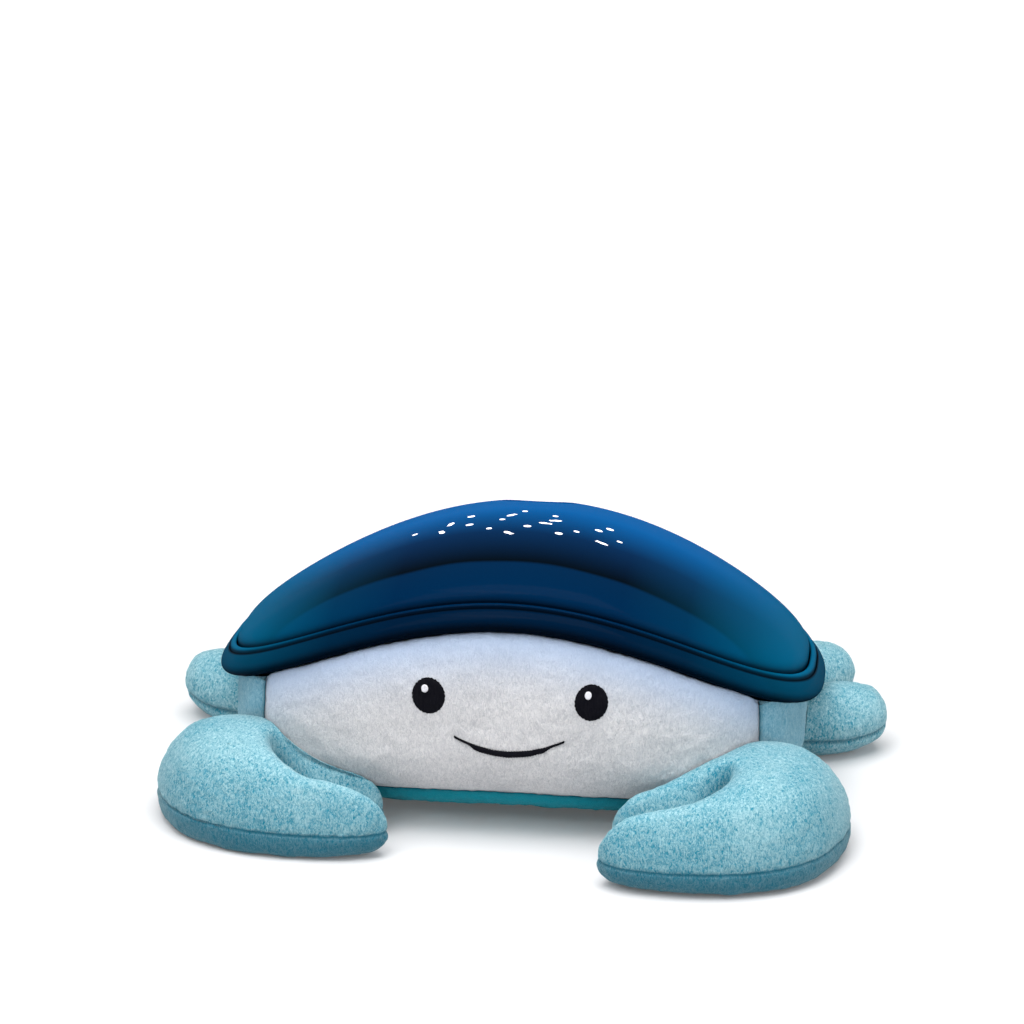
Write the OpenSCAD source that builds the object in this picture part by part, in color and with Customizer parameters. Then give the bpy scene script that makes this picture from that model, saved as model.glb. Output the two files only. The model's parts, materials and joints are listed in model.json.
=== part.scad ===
// Plush crab night light whose glossy shell throws moving water light on the ceiling.
// Everything is modelled round the lamp's axis, which stands up the middle of the shell.
// The crab faces -Y. stand() moves it all so that its footprint is centred on the origin.

/* [Shell] */
// Half width of the shell's lower edge
shell_half_w = 121; // [114:0.5:126]
// Half depth of the shell's lower edge
shell_half_d = 86; // [82:0.5:90]
// How square the shell is in plan, 2 for an ellipse
shell_square = 2.8; // [2.4:0.1:3.2]
// Height of the shell's lower edge at the lamp's axis
rim_z = 81; // [78:0.5:86]
// Height of the rolled rim
rim_h = 11; // [9:0.5:13]
// How far the rolled rim stands out
rim_roll = 7; // [4:0.5:9]
// How far the dome's edge is set in from the lower edge at front and back
rim_set = 2.5; // [2:0.5:5]
// Rise of the dome above its edge
dome_h = 18.5; // [16:0.5:22]
// Power of the dome's rise from its edge, 1 for a parabola and less for a fuller dome
dome_power = 0.38; // [0.34:0.02:0.6]
// Fall of the shell's ends under its middle
end_drop = 38.5; // [34:0.5:42]
// How much the shell's bend eases towards its ends, 0 for a parabola
bend_ease = 0.32; // [0:0.04:0.4]
// Fall of the shell to the back in degrees
shell_tilt = 9; // [7:0.5:10]
// Wall of the shell
shell_wall = 2.4; // [2:0.1:3]

/* [Light windows] */
// Number of windows in the dome
window_count = 20; // [8:1:24]
// Half width of the patch of windows
window_half_w = 50; // [36:1:56]
// Half depth of the patch of windows
window_half_d = 22; // [16:1:24]
// Length of a fish window
fish_l = 6; // [5:0.5:9]
// Diameter of a bubble window
bubble_d = 3.2; // [3:0.1:5]

/* [Controls] */
// Distance of the control island's middle from the back edge of the dome
control_in = 23.5; // [23:0.5:25.5]
// Radius of the control island
control_r = 16; // [16:0.25:17]
// Radius of the power button
power_r = 4.6; // [4:0.1:4.8]
// Radius of the small buttons
small_r = 3; // [2.6:0.1:3.1]
// Distance of the small buttons from the power button
small_ring = 10.3; // [10.1:0.1:10.5]
// Travel of every button
button_travel = 1.2; // [0.8:0.1:1.4]

/* [Housing] */
// Half length of the tub
tub_half_l = 80; // [79:0.5:84]
// Half depth of the tub
tub_half_d = 37; // [36.5:0.5:39]
// Height of the tub's top edge
tub_top = 40; // [39:0.5:42]
// Wall and floor of the tub
tub_wall = 2.4; // [2:0.1:2.6]
// Height of the rubber feet
foot_h = 2.6; // [2:0.1:3]
// Radius of the rubber feet
foot_r = 4.5; // [3.5:0.1:4.8]

/* [Battery bay] */
// Diameter of a cell
cell_d = 14.5; // [14:0.1:14.6]
// Length of a cell with its button
cell_l = 50.5; // [49:0.1:51]
// Number of cells side by side
cell_count = 3; // [2:1:3]
// Thickness of the battery door
door_t = 2.2; // [1.8:0.1:2.4]

/* [Lamp and wave drive] */
// Tooth size of the wave drive
gear_module = 1; // [0.9:0.05:1.05]
// Teeth on the wave wheel
wheel_teeth = 64; // [56:1:66]
// Teeth on the drive pinion
pinion_teeth = 12; // [11:1:14]
// Height of the wave wheel's underside
wheel_z = 58; // [57.5:0.5:60]
// Thickness of the wave wheel
wheel_t = 2.5; // [2:0.1:3]
// Radius of the pin that carries the wave wheel
pin_r = 2; // [1.5:0.1:2.5]
// Radius of the ripple lens
lens_r = 16; // [14:0.5:16.5]

/* [Plush] */
// How far the body's sides stay inside the shell's lower edge
body_in = 1; // [-2:0.5:3]
// How far the body's front and back stand out past the shell's lower edge
body_out = 6.5; // [5:0.5:8]
// Share of the body's height at which it is fullest
bulge_share = 0.4535; // [0.4:0.01:0.5]
// Height of the hem under the body
hem_z = 3.2; // [3:0.1:4]
// How far the hem stands out from the tub
hem_out = 6; // [5:0.5:8]
// Edge of the face panel, in degrees round from straight ahead
face_half_angle = 60; // [52:1:62]
// Height of the seam under the face, in degrees under the fullest line
chin_angle = 39; // [34:1:46]
// Clearance between limbs and body
limb_gap = 1.7; // [1.6:0.1:2]

/* [Claws] */
// Reach of the claws in front of the body
claw_reach = 37.5; // [36:0.5:41]
// How far a claw's middle lies inside the body's side
claw_in = 8; // [6:0.5:10]
// Height of the seam round a claw
claw_seam_z = 14; // [11:0.5:16]
// Height of a claw
claw_h = 44; // [38:0.5:46]
// How far back a claw's crest leans
claw_lean = 12; // [0:1:16]

/* [Legs] */
// Radius of a leg
leg_r = 15.5; // [14:0.5:16]
// Length of a leg past the body
leg_l = 36; // [33:0.5:40]
// Direction of the front legs in degrees back from straight out
front_leg_angle = 22; // [18:1:26]
// Direction of the rear legs in degrees back from straight out
rear_leg_angle = 36; // [34:1:42]

/* [Face] */
// Half width of an eye
eye_w = 7; // [5:0.25:8]
// Half height of an eye
eye_h = 8.2; // [6:0.2:9]
// Half the distance between the eyes
eye_x = 33.2; // [28:0.2:36]
// Height of the eyes
eye_z = 67.4; // [62:0.2:70]
// Half width of the smile
smile_w = 22.6; // [16:0.2:26]
// Height of the smile's ends
smile_z = 49.8; // [46:0.2:52]
// Sag of the smile
smile_sag = 5.4; // [4:0.1:7]
// Thickness of the smile's middle
smile_t = 2.8; // [1.6:0.1:3.2]
// How far the embroidery sits to the right of the middle
face_shift = 2.4; // [0:0.2:4]

/* [Hidden] */
$fn = 64;

// Fits
slip = 0.3;
running = 0.05;
skin_gap = 0.3;

// Colours
shell_blue = [0.02, 0.16, 0.32];
clear_blue = [0.75, 0.88, 0.95, 0.6];
teal = [0.47, 0.79, 0.82];
deep_teal = [0.1, 0.5, 0.55];
face_grey = [0.82, 0.82, 0.84];
thread_black = [0.03, 0.03, 0.06];
housing_white = [0.9, 0.91, 0.92];
board_green = [0.1, 0.4, 0.22];
steel = [0.7, 0.71, 0.73];

// Shared levels
base_z = foot_h;
floor_z = base_z + tub_wall;
chassis_t = 2;
chassis_z = tub_top - chassis_t;
body_half_w = shell_half_w - body_in;
body_half_d = shell_half_d + body_out;
claw_front = body_half_d + claw_reach;
claw_x = body_half_w - claw_in;
axis_y = claw_reach / 2;

// Round the lamp's axis
sides = 64;
turn = [for (i = [0 : sides - 1]) 360 * i / sides];

module stand() translate([0, axis_y, 0]) children();

// Points of lofts

function mix(a, b, s) = a + (b - a) * s;
function at(t, r, z) = [r * cos(t), r * sin(t), z];
function squircle(t, a, b, n) = pow(pow(abs(cos(t)) / a, n) + pow(abs(sin(t)) / b, n), -1 / n);
function oblong_r(t, hl, hd) =
    let (c = abs(cos(t)), s = abs(sin(t)), k = hl - hd)
    k * s >= hd * c ? hd / s : k * c + sqrt(hd * hd - k * k * s * s);

// A loft through closed rings, closed at each end by a point
module loft(rings, first, last) {
    n = len(rings[0]);
    m = len(rings);
    end = n * m;
    walls = [for (j = [0 : m - 2], i = [0 : n - 1])
        let (a = j * n + i, b = j * n + (i + 1) % n)
        each [[a, b, b + n], [a, b + n, a + n]]];
    start_cap = [for (i = [0 : n - 1]) [end, (i + 1) % n, i]];
    end_cap = [for (i = [0 : n - 1]) [end + 1, end - n + i, end - n + (i + 1) % n]];
    polyhedron(concat([for (r = rings) each r], [first, last]), concat(start_cap, walls, end_cap));
}

// A closed hoop through rings that go all the way round
module hoop(rings) {
    n = len(rings[0]);
    m = len(rings);
    faces = [for (j = [0 : m - 1], i = [0 : n - 1])
        let (a = j * n + i, b = j * n + (i + 1) % n, c = ((j + 1) % m) * n + i,
            d = ((j + 1) % m) * n + (i + 1) % n)
        each [[a, d, b], [a, c, d]]];
    polyhedron([for (r = rings) each r], faces);
}

// A stuffed panel between an outer and an inner row of points in each of its columns
module panel(outer, inner) {
    n = len(outer[0]);
    cols = [for (i = [0 : len(outer) - 1]) concat(outer[i], [for (j = [n - 1 : -1 : 0]) inner[i][j]])];
    k = 2 * n;
    last = (len(cols) - 1) * k;
    walls = [for (i = [0 : len(cols) - 2], j = [0 : k - 1])
        let (a = i * k + j, b = i * k + (j + 1) % k)
        each [[a, b, b + k], [a, b + k, a + k]]];
    ends = [for (j = [0 : n - 2])
        let (a = j, b = j + 1, c = k - 1 - j, d = k - 2 - j)
        each [[a, d, b], [a, c, d], [last + a, last + b, last + d], [last + a, last + d, last + c]]];
    polyhedron([for (c = cols) each c], concat(walls, ends));
}

// Shape of the shell

function drop(x) = let (s = pow(x / shell_half_w, 2)) end_drop * s * (1 + bend_ease * (1 - s));
function shell_z(x, y) = rim_z - drop(x) - tan(shell_tilt) * y;
function edge_r(t) = squircle(t, shell_half_w, shell_half_d, shell_square);
function dome_r(t) = squircle(t, shell_half_w, shell_half_d - rim_set, shell_square);
function on_shell(t, r, up) = let (p = at(t, r, 0)) [p.x, p.y, shell_z(p.x, p.y) + up];
function rise(q) = dome_h * pow(1 - q * q, dome_power);
function dome_point(t, q, under) = on_shell(t, q * (dome_r(t) - under), rim_h + rise(q) - under);
function dome_ring(q, under) = [for (t = turn) dome_point(t, q, under)];
function roll_ring(a, inset) = let (k = (1 - sin(a)) / 2) [for (t = turn)
    on_shell(t, mix(dome_r(t), edge_r(t), k) + rim_roll * cos(a) - inset,
        rim_h * (1 - k) - inset * max(0, sin(a)))];

// Shares of the dome's radius at which the liner and the rest of the shell's inside have their rings
liner_rings = [0.2, 0.4, 0.6];
inside_rings = [1, 0.98, 0.92, 0.8];

module dome_solid() {
    outer = concat([for (q = [0.2, 0.4, 0.6, 0.76, 0.88, 0.95, 0.985, 0.998]) dome_ring(q, 0)],
        [for (a = [90 : -30 : -90]) roll_ring(a, 0)]);
    inner = concat([for (a = [-90, -50, -10, 30, 60]) roll_ring(a, shell_wall)],
        [for (q = inside_rings) dome_ring(q, shell_wall)],
        [for (i = [2 : -1 : 0]) dome_ring(liner_rings[i], shell_wall)]);
    loft(concat(outer, inner), dome_point(0, 0, 0), dome_point(0, 0, shell_wall));
}

// Windows spread over the top of the dome like seeds on a flower head, fish and bubbles in turn
golden_angle = 137.5;
window_y = -5;
function window_at(i) = let (r = sqrt((i + 0.5) / window_count))
    [window_half_w * r * cos(golden_angle * i), window_y + window_half_d * r * sin(golden_angle * i)];

module fish() {
    belly_r = fish_l * 0.45;
    intersection() {
        translate([0, belly_r * 0.55]) circle(belly_r);
        translate([0, -belly_r * 0.55]) circle(belly_r);
    }
    polygon([[belly_r * 0.5, 0], [fish_l * 0.55, fish_l * 0.2], [fish_l * 0.55, -fish_l * 0.2]]);
}

window_low = rim_z;
window_high = rim_z + rim_h + dome_h + 20;

module windows() {
    for (i = [0 : window_count - 1])
        translate([window_at(i).x, window_at(i).y, window_low])
            linear_extrude(window_high - window_low)
                if (i % 3 == 0) rotate(golden_angle * i * 0.5) fish();
                else circle(d = bubble_d * (i % 2 == 0 ? 1 : 0.75));
}

// Control island, sunk square into the dome behind the lamp's axis
control_y = shell_half_d - rim_set - control_in;
control_q = control_y / (shell_half_d - rim_set);
control_z = shell_z(0, control_y) + rim_h + rise(control_q);
control_slope = 2 * dome_power * control_q * rise(control_q) / (1 - control_q * control_q);
control_lean = atan(tan(shell_tilt) + control_slope / (shell_half_d - rim_set));
island_top = -3;
island_wall = 2.8;
island_side = 1.2;
island_deep = 11.5;
island_edge = 0.8;
flange_top = -shell_wall - 3;
flange_t = 1.8;
flange_out = 2.5;
cap_up = 1.4;
cap_edge = 0.6;
collar = 1;
collar_top = island_top - island_wall - 0.1;
stem_r = 1.6;
stem_end = collar_top - collar - skin_gap;
switch_r = 2;
switch_top = stem_end - button_travel - skin_gap;
board_t = 1.6;

module on_island() translate([0, control_y, control_z]) rotate([-control_lean, 0, 0]) children();
module on_small(i) on_island() rotate(90 + 120 * i) translate([small_ring, 0, 0]) children();

module shell() {
    color(shell_blue) difference() {
        dome_solid();
        windows();
        on_island() cylinder(r = control_r + slip, h = 2 * island_deep, center = true);
    }
}

module window_dome() {
    liner_t = 1.6;
    under = shell_wall + 2 * skin_gap;
    top = [for (q = liner_rings) dome_ring(q, under)];
    bottom = [for (i = [2 : -1 : 0]) dome_ring(liner_rings[i], under + liner_t)];
    color(clear_blue) difference() {
        loft(concat(top, bottom), dome_point(0, 0, under), dome_point(0, 0, under + liner_t));
        on_island() cylinder(r = control_r + flange_out + slip, h = 4 * island_deep, center = true);
    }
}

module control_panel() {
    flange_r = control_r + flange_out;
    bore = island_top - island_wall;
    color(shell_blue) difference() {
        on_island() rotate_extrude() polygon([[0, -island_deep], [control_r, -island_deep],
            [control_r, flange_top - flange_t], [flange_r, flange_top - flange_t], [flange_r, flange_top],
            [control_r, flange_top], [control_r, island_top - island_edge],
            [control_r - island_edge, island_top], [0, island_top]]);
        on_island() translate([0, 0, -2 * island_deep])
            cylinder(r = control_r - island_side, h = bore + 2 * island_deep);
        on_island() cylinder(r = power_r + running, h = 2 * island_deep, center = true);
        for (i = [0 : 2]) on_small(i) cylinder(r = small_r + running, h = 2 * island_deep, center = true);
    }
}

// A button cap with the collar that keeps it in, and the stem that meets its switch
module button(r) {
    cap_top = island_top + cap_up;
    rotate_extrude() polygon([[0, stem_end], [stem_r, stem_end], [stem_r, collar_top - collar],
        [r + collar, collar_top - collar], [r + collar, collar_top], [r, collar_top],
        [r, cap_top - cap_edge], [r - cap_edge, cap_top], [0, cap_top]]);
}

module power_button() color("white") on_island() button(power_r);
module melody_button() color(teal) on_small(0) button(small_r);
module volume_up_button() color(teal) on_small(1) button(small_r);
module volume_down_button() color(teal) on_small(2) button(small_r);

module switch() {
    rooted = -island_deep - board_t / 2;
    translate([0, 0, rooted]) cylinder(r = switch_r, h = switch_top - rooted);
}

module button_board() {
    color(board_green) {
        on_island() translate([0, 0, -island_deep - board_t]) cylinder(r = control_r, h = board_t);
        on_island() switch();
        for (i = [0 : 2]) on_small(i) switch();
    }
}

// Tray that carries the shell on the tub

tray_wall = 2.2;
lip_up = 4;
lip_in = shell_wall + 0.5;

function tub_r(t) = oblong_r(t, tub_half_l, tub_half_d);
function tray_foot(t, inset) = at(t, tub_r(t) - inset, tub_top);
function tray_lip(t, inset) = on_shell(t, edge_r(t) - lip_in - inset, lip_up);

module shell_tray() {
    color(housing_white) hoop([[for (t = turn) tray_foot(t, 0)], [for (t = turn) tray_lip(t, 0)],
        [for (t = turn) tray_lip(t, tray_wall)], [for (t = turn) tray_foot(t, tray_wall)]]);
}

// Tub with its battery bay

cell_pitch = cell_d + 0.5;
spring_l = 6;
contact_t = 0.4;
end_room = 2.2;
bay_wall = 2;
bay_l = cell_l + spring_l + 2 * contact_t + end_room;
bay_w = cell_count * cell_pitch + 0.6;
bay_x = 46 - tub_half_l;
bay_x0 = bay_x - bay_l / 2;
bay_x1 = bay_x + bay_l / 2;
cell_z = base_z + door_t + 0.6 + cell_d / 2;
bay_roof = cell_z + cell_d / 2 + 0.5;
door_lap = 0.8;
door_x0 = bay_x0 - door_lap;
door_x1 = bay_x1 + door_lap;
door_half = bay_w / 2 + door_lap;
tongue_half = 5;
door_screw_x = bay_x1 + 5;
tongue_x1 = door_screw_x + 4;
door_boss_r = 3.6;
door_boss_z = floor_z + 9;
screw_r = 1.4;
speaker_r = tub_half_l / 4;
speaker_x = tub_half_l - 2 * speaker_r;
grille_r = speaker_r - 5;
grille_pitch = 5;
slot_w = 2.4;
boss_r = 4;
pilot_r = 1.5;
pilot_deep = 10;
boss_ring = tub_half_d - tub_wall - boss_r - 1.6;
boss_angle = 65;
chassis_spots = [for (sx = [-1, 1], sy = [-1, 1])
    [sx * (tub_half_l - tub_half_d + boss_ring * cos(boss_angle)), sy * boss_ring * sin(boss_angle)]];
main_z = 24;
main_x0 = bay_x1 + 8;
main_x1 = tub_half_l - 14;
main_x = (main_x0 + main_x1) / 2;
main_half = 21;
main_spots = [for (x = [main_x0 + 6, main_x1 - 6], y = [4 - main_half, main_half - 4]) [x, y]];
foot_spots = [for (sy = [-1, 1]) each [[7.5 - tub_half_l, 9 * sy], [tub_half_l - 16, 17 * sy]]];

module oblong(hl, hd) {
    square([2 * (hl - hd), 2 * hd], center = true);
    for (s = [-1, 1]) translate([s * (hl - hd), 0]) circle(hd);
}

module block(x0, x1, half, z0, z1) translate([x0, -half, z0]) cube([x1 - x0, 2 * half, z1 - z0]);

module slot(l, w) {
    square([l - w, w], center = true);
    for (s = [-1, 1]) translate([s * (l - w) / 2, 0]) circle(d = w);
}

module door_plan(room) {
    translate([door_x0 - room, -door_half - room])
        square([door_x1 - door_x0 + 2 * room, 2 * (door_half + room)]);
    translate([bay_x1, -tongue_half - room])
        square([tongue_x1 - bay_x1 + room, 2 * (tongue_half + room)]);
}

module boss(p, r, z0, z1) translate([p.x, p.y, z0]) cylinder(r = r, h = z1 - z0);

module lower_housing() {
    rooted = base_z + tub_wall / 2;
    color(housing_white) difference() {
        union() {
            difference() {
                translate([0, 0, base_z]) linear_extrude(tub_top - base_z) oblong(tub_half_l, tub_half_d);
                translate([0, 0, floor_z]) linear_extrude(tub_top)
                    oblong(tub_half_l - tub_wall, tub_half_d - tub_wall);
            }
            block(bay_x0 - bay_wall, bay_x1 + bay_wall, bay_w / 2 + bay_wall, rooted, bay_roof + bay_wall);
            translate([door_screw_x, 0, floor_z]) cylinder(r = door_boss_r, h = door_boss_z - floor_z);
            block(bay_x1 + bay_wall / 2, door_screw_x, 2.8, floor_z, door_boss_z);
            for (p = chassis_spots) boss(p, boss_r, rooted, chassis_z);
            for (p = main_spots) boss(p, boss_r - 1, rooted, main_z);
            translate([speaker_x, 0, rooted]) difference() {
                cylinder(r = speaker_r + 2, h = floor_z + 3 - rooted);
                translate([0, 0, -1]) cylinder(r = speaker_r + slip, h = tub_top);
            }
        }
        block(bay_x0, bay_x1, bay_w / 2, base_z - 1, bay_roof);
        translate([0, 0, base_z - 1]) linear_extrude(tub_wall + 1) door_plan(slip);
        translate([door_screw_x, 0, 0]) cylinder(r = screw_r + 1, h = door_boss_z - 1);
        for (i = [-2 : 2]) translate([speaker_x, i * grille_pitch, 0]) linear_extrude(floor_z + 0.5)
            slot(2 * sqrt(grille_r * grille_r - pow(i * grille_pitch, 2)), slot_w);
        for (p = chassis_spots) boss(p, pilot_r, chassis_z - pilot_deep, tub_top);
        for (p = main_spots) boss(p, pilot_r, main_z - pilot_deep, tub_top);
    }
}

module rubber_feet() {
    color([0.2, 0.2, 0.22]) for (p = foot_spots) translate([p.x, p.y, 0]) rotate_extrude()
        polygon([[0, 0], [foot_r - 0.6, 0], [foot_r, 0.6], [foot_r, foot_h], [0, foot_h]]);
}

// Door in the floor, round along the edge that it swings on

door_axis_x = door_x0 + door_t / 2;
door_axis_z = base_z + door_t / 2;
head_r = 2.6;
head_h = 1.3;

module battery_door() {
    color(housing_white) difference() {
        union() {
            translate([0, 0, base_z]) linear_extrude(door_t) intersection() {
                door_plan(0);
                translate([door_axis_x, -tub_half_l]) square(2 * tub_half_l);
            }
            translate([door_axis_x, 0, door_axis_z]) rotate([90, 0, 0])
                cylinder(d = door_t, h = 2 * door_half, center = true);
        }
        translate([door_screw_x, 0, 0]) cylinder(r = screw_r + running, h = tub_top);
        translate([door_screw_x, 0, 0]) cylinder(r = head_r + slip, h = base_z + head_h + 0.2);
        for (i = [-1 : 1]) translate([door_x1 - 8 + 2.4 * i, 0, base_z - 1]) linear_extrude(1.6)
            rotate(90) slot(24, 1.2);
    }
}

module door_screw() {
    color(steel) {
        translate([door_screw_x, 0, base_z + 0.2]) cylinder(r = head_r, h = head_h);
        translate([door_screw_x, 0, base_z + 0.2]) cylinder(r = screw_r, h = door_boss_z - base_z - 3);
    }
}

// Cells lie along X, each one turned end for end from the last

module each_cell() {
    for (i = [0 : cell_count - 1]) {
        y = (i - (cell_count - 1) / 2) * cell_pitch;
        translate([bay_x, y, cell_z]) mirror([i % 2, 0, 0]) children();
    }
}

cell_nub_h = 1;
cell_nub_r = 2.7;
cell_x0 = contact_t + spring_l + end_room / 2 - bay_l / 2;

module battery_cells() {
    color([0.16, 0.2, 0.24]) each_cell() translate([cell_x0, 0, 0]) rotate([0, 90, 0]) {
        cylinder(d = cell_d, h = cell_l - cell_nub_h);
        cylinder(r = cell_nub_r, h = cell_l);
    }
}

spring_turns = 4;
spring_wire = 0.7;
spring_wide = 4.2;
spring_narrow = 3;
spring_x0 = contact_t + 0.1 + spring_wire / 2 - bay_l / 2;
spring_x1 = cell_x0 - 0.1 - spring_wire / 2;

function spring_ring(u) =
    let (f = 360 * spring_turns * u, r = mix(spring_wide, spring_narrow, u),
        x = mix(spring_x0, spring_x1, u))
    [for (a = [0 : 60 : 300])
        let (d = r + spring_wire / 2 * cos(a)) [x + spring_wire / 2 * sin(a), d * cos(f), d * sin(f)]];
function middle(ring) = [for (k = [0 : 2]) [for (p = ring) p[k]] * [for (p = ring) 1] / len(ring)];

module battery_springs() {
    rings = [for (i = [0 : 8 * spring_turns]) spring_ring(i / (8 * spring_turns))];
    color(steel) each_cell() loft(rings, middle(rings[0]), middle(rings[len(rings) - 1]));
}

module battery_contacts() {
    plate = 9;
    color(steel) each_cell() {
        translate([-bay_l / 2, -plate / 2, -plate / 2]) cube([contact_t, plate, plate]);
        translate([bay_l / 2 - contact_t, -plate / 2, -plate / 2]) cube([contact_t, plate, plate]);
    }
}

// Electronics in the tub

module main_board() {
    color(board_green) difference() {
        union() {
            block(main_x0, main_x1, main_half, main_z, main_z + board_t);
            translate([main_x - 9, -6, main_z + board_t / 2]) cube([12, 12, 2.4]);
            translate([main_x + 15, 8, main_z + board_t / 2]) cylinder(d = 6, h = 8);
            translate([main_x + 15, -8, main_z + board_t / 2]) cylinder(d = 5, h = 7);
        }
        for (p = main_spots) translate([p.x, p.y, 0]) cylinder(r = pilot_r, h = tub_top);
    }
}

module small_screw(z, head) {
    translate([0, 0, z - 8]) cylinder(r = screw_r, h = 8.5);
    translate([0, 0, z]) cylinder(r = head, h = head_h);
}

module board_screws() {
    color(steel) for (p = main_spots) translate([p.x, p.y, 0]) small_screw(main_z + board_t, head_r);
}

module speaker() {
    color([0.25, 0.25, 0.27]) translate([speaker_x, 0, floor_z]) rotate_extrude()
        polygon([[speaker_r - 3.2, 0], [speaker_r, 0], [speaker_r, 1.5], [speaker_r - 1.4, 1.5],
            [speaker_r - 7, 8], [speaker_r - 7, 14], [0, 14], [0, 8.6], [5, 8.6], [speaker_r - 3.2, 1.2]]);
}

module speaker_cone() {
    rim = speaker_r - 3.8;
    color([0.12, 0.12, 0.13]) translate([speaker_x, 0, floor_z]) rotate_extrude()
        polygon([[0, 6.6], [4.6, 6.6], [rim, 0.4], [rim, 1], [4.9, 7.6], [0, 7.6]]);
}

module chassis_plate() {
    color(housing_white) difference() {
        translate([0, 0, chassis_z]) linear_extrude(chassis_t)
            oblong(tub_half_l - tub_wall - slip, tub_half_d - tub_wall - slip);
        for (p = chassis_spots) translate([p.x, p.y, 0]) cylinder(r = pilot_r, h = 2 * tub_top);
        for (s = [-1, 1]) translate([speaker_x, 14 * s, 0]) linear_extrude(2 * tub_top) slot(26, 8);
    }
}

module chassis_screws() {
    color(steel) for (p = chassis_spots) translate([p.x, p.y, 0]) small_screw(tub_top, head_r + 0.4);
}

// Lamp and wave drive on the chassis

led_board_t = 1.6;
led_z = tub_top + led_board_t;
cup_top = wheel_z - 3;
wheel_pitch_r = gear_module * wheel_teeth / 2;
pinion_pitch_r = gear_module * pinion_teeth / 2;
wheel_x = -wheel_pitch_r * 0.5625;
pinion_x = wheel_x - wheel_pitch_r - pinion_pitch_r;
lens_z = wheel_z + wheel_t + 6;
lens_t = 2;
shaft_r = 1;
lamp_r = 11;
motor_r = 11;
motor_h = 11;
gear_case_r = 8;
gear_case_h = 3;

module led_board() color("white") translate([0, 0, tub_top]) cylinder(r = lamp_r, h = led_board_t);

module led_emitter() {
    color([1, 0.97, 0.8]) {
        translate([-3.5, -3.5, led_z]) cube([7, 7, 0.8]);
        translate([0, 0, led_z + 0.6]) intersection() {
            sphere(r = 2.6);
            cylinder(r = 3, h = 3);
        }
    }
}

module reflector_cup() {
    cup_wall = 1.2;
    foot_r = lamp_r * 0.51;
    color("silver") rotate_extrude() polygon([[foot_r, led_z], [foot_r + cup_wall, led_z], [lamp_r, cup_top],
        [lamp_r - cup_wall, cup_top], [foot_r, led_z + 1]]);
}

module gear_motor() {
    color(steel) translate([pinion_x, 0, tub_top]) {
        cylinder(r = motor_r, h = motor_h);
        cylinder(r = gear_case_r, h = motor_h + gear_case_h);
        cylinder(r = shaft_r, h = wheel_z + wheel_t + 3 - tub_top);
    }
}

pressure_angle = 20;
backlash = 0.12;

function involute(a) = tan(a) * 180 / PI - a;
function half_tooth(r, pitch_r, teeth) =
    let (base_r = pitch_r * cos(pressure_angle))
    90 / teeth - backlash / pitch_r * 90 / PI + involute(pressure_angle)
        - involute(r > base_r ? acos(base_r / r) : 0);

module gear(teeth, turned) {
    pitch_r = gear_module * teeth / 2;
    root = pitch_r - 1.1 * gear_module;
    tip = pitch_r + 0.8 * gear_module;
    radii = [root, mix(root, tip, 0.4), mix(root, tip, 0.7), tip];
    flank = [for (r = radii) half_tooth(r, pitch_r, teeth)];
    corners = [for (k = [0 : 3]) [radii[k], -flank[k]], for (k = [3 : -1 : 0]) [radii[k], flank[k]]];
    polygon([for (i = [0 : teeth - 1], c = corners)
        let (a = turned + 360 * i / teeth + c[1]) [c[0] * cos(a), c[0] * sin(a)]]);
}

module drive_pinion() {
    color("white") translate([pinion_x, 0, wheel_z - 0.8]) difference() {
        linear_extrude(wheel_t + 1.6) gear(pinion_teeth, 180 / pinion_teeth);
        translate([0, 0, -1]) cylinder(r = shaft_r + running, h = 10);
    }
}

module wheel_pin() {
    color(steel) translate([wheel_x, 0, tub_top]) {
        cylinder(r = 5, h = 2);
        cylinder(r = pin_r + 1.6, h = wheel_z - running - tub_top);
        cylinder(r = pin_r, h = wheel_z + wheel_t + 3.5 - tub_top);
    }
}

// Clear wheel whose dimples bend the light into ripples as it turns
dimple_count = 22;
dimple_r = 6;
dimple_deep = 0.9;

module wave_wheel() {
    hub_r = pin_r + 3;
    top = wheel_z + wheel_t;
    color(clear_blue) translate([wheel_x, 0, 0]) difference() {
        union() {
            translate([0, 0, wheel_z]) linear_extrude(wheel_t) gear(wheel_teeth, 0);
            translate([0, 0, wheel_z]) cylinder(r = hub_r, h = wheel_t + 2.4);
        }
        cylinder(r = pin_r + running, h = 2 * top);
        for (i = [0 : dimple_count - 1]) rotate(golden_angle * i)
            translate([sqrt(mix(pow(hub_r + 4, 2), pow(wheel_pitch_r - 5, 2), (i + 0.5) / dimple_count)), 0,
                top + dimple_r - dimple_deep]) sphere(r = dimple_r);
    }
}

post_r = 2.6;
post_x = wheel_x + wheel_pitch_r + 10;
post_y = 9;

module lens_bracket() {
    ring_r = lens_r + 2.6;
    low = lens_z - 1.4;
    top = lens_z + lens_t;
    color(housing_white) difference() {
        union() {
            translate([0, 0, low]) cylinder(r = ring_r, h = top - low);
            for (s = [-1, 1]) {
                boss([post_x, s * post_y], post_r, tub_top, top);
                translate([0, s * post_y, 0]) block(lens_r - 5, post_x, 2, low, top);
            }
        }
        translate([0, 0, lens_z]) cylinder(r = lens_r + slip / 2, h = lens_t + 1);
        translate([0, 0, lens_z - 3]) cylinder(r = lens_r - 1.6, h = lens_t + 3);
    }
}

module ripple_lens() {
    wave = 0.35;
    rings_in_lens = 4;
    color(clear_blue) rotate_extrude() polygon(concat([[0, lens_z], [lens_r, lens_z]],
        [for (i = [16 : -1 : 0]) let (r = lens_r * i / 16)
            [r, lens_z + lens_t - wave + wave * cos(360 * rings_in_lens * r / lens_r)]]));
}

// Shape of the stuffed body

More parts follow.
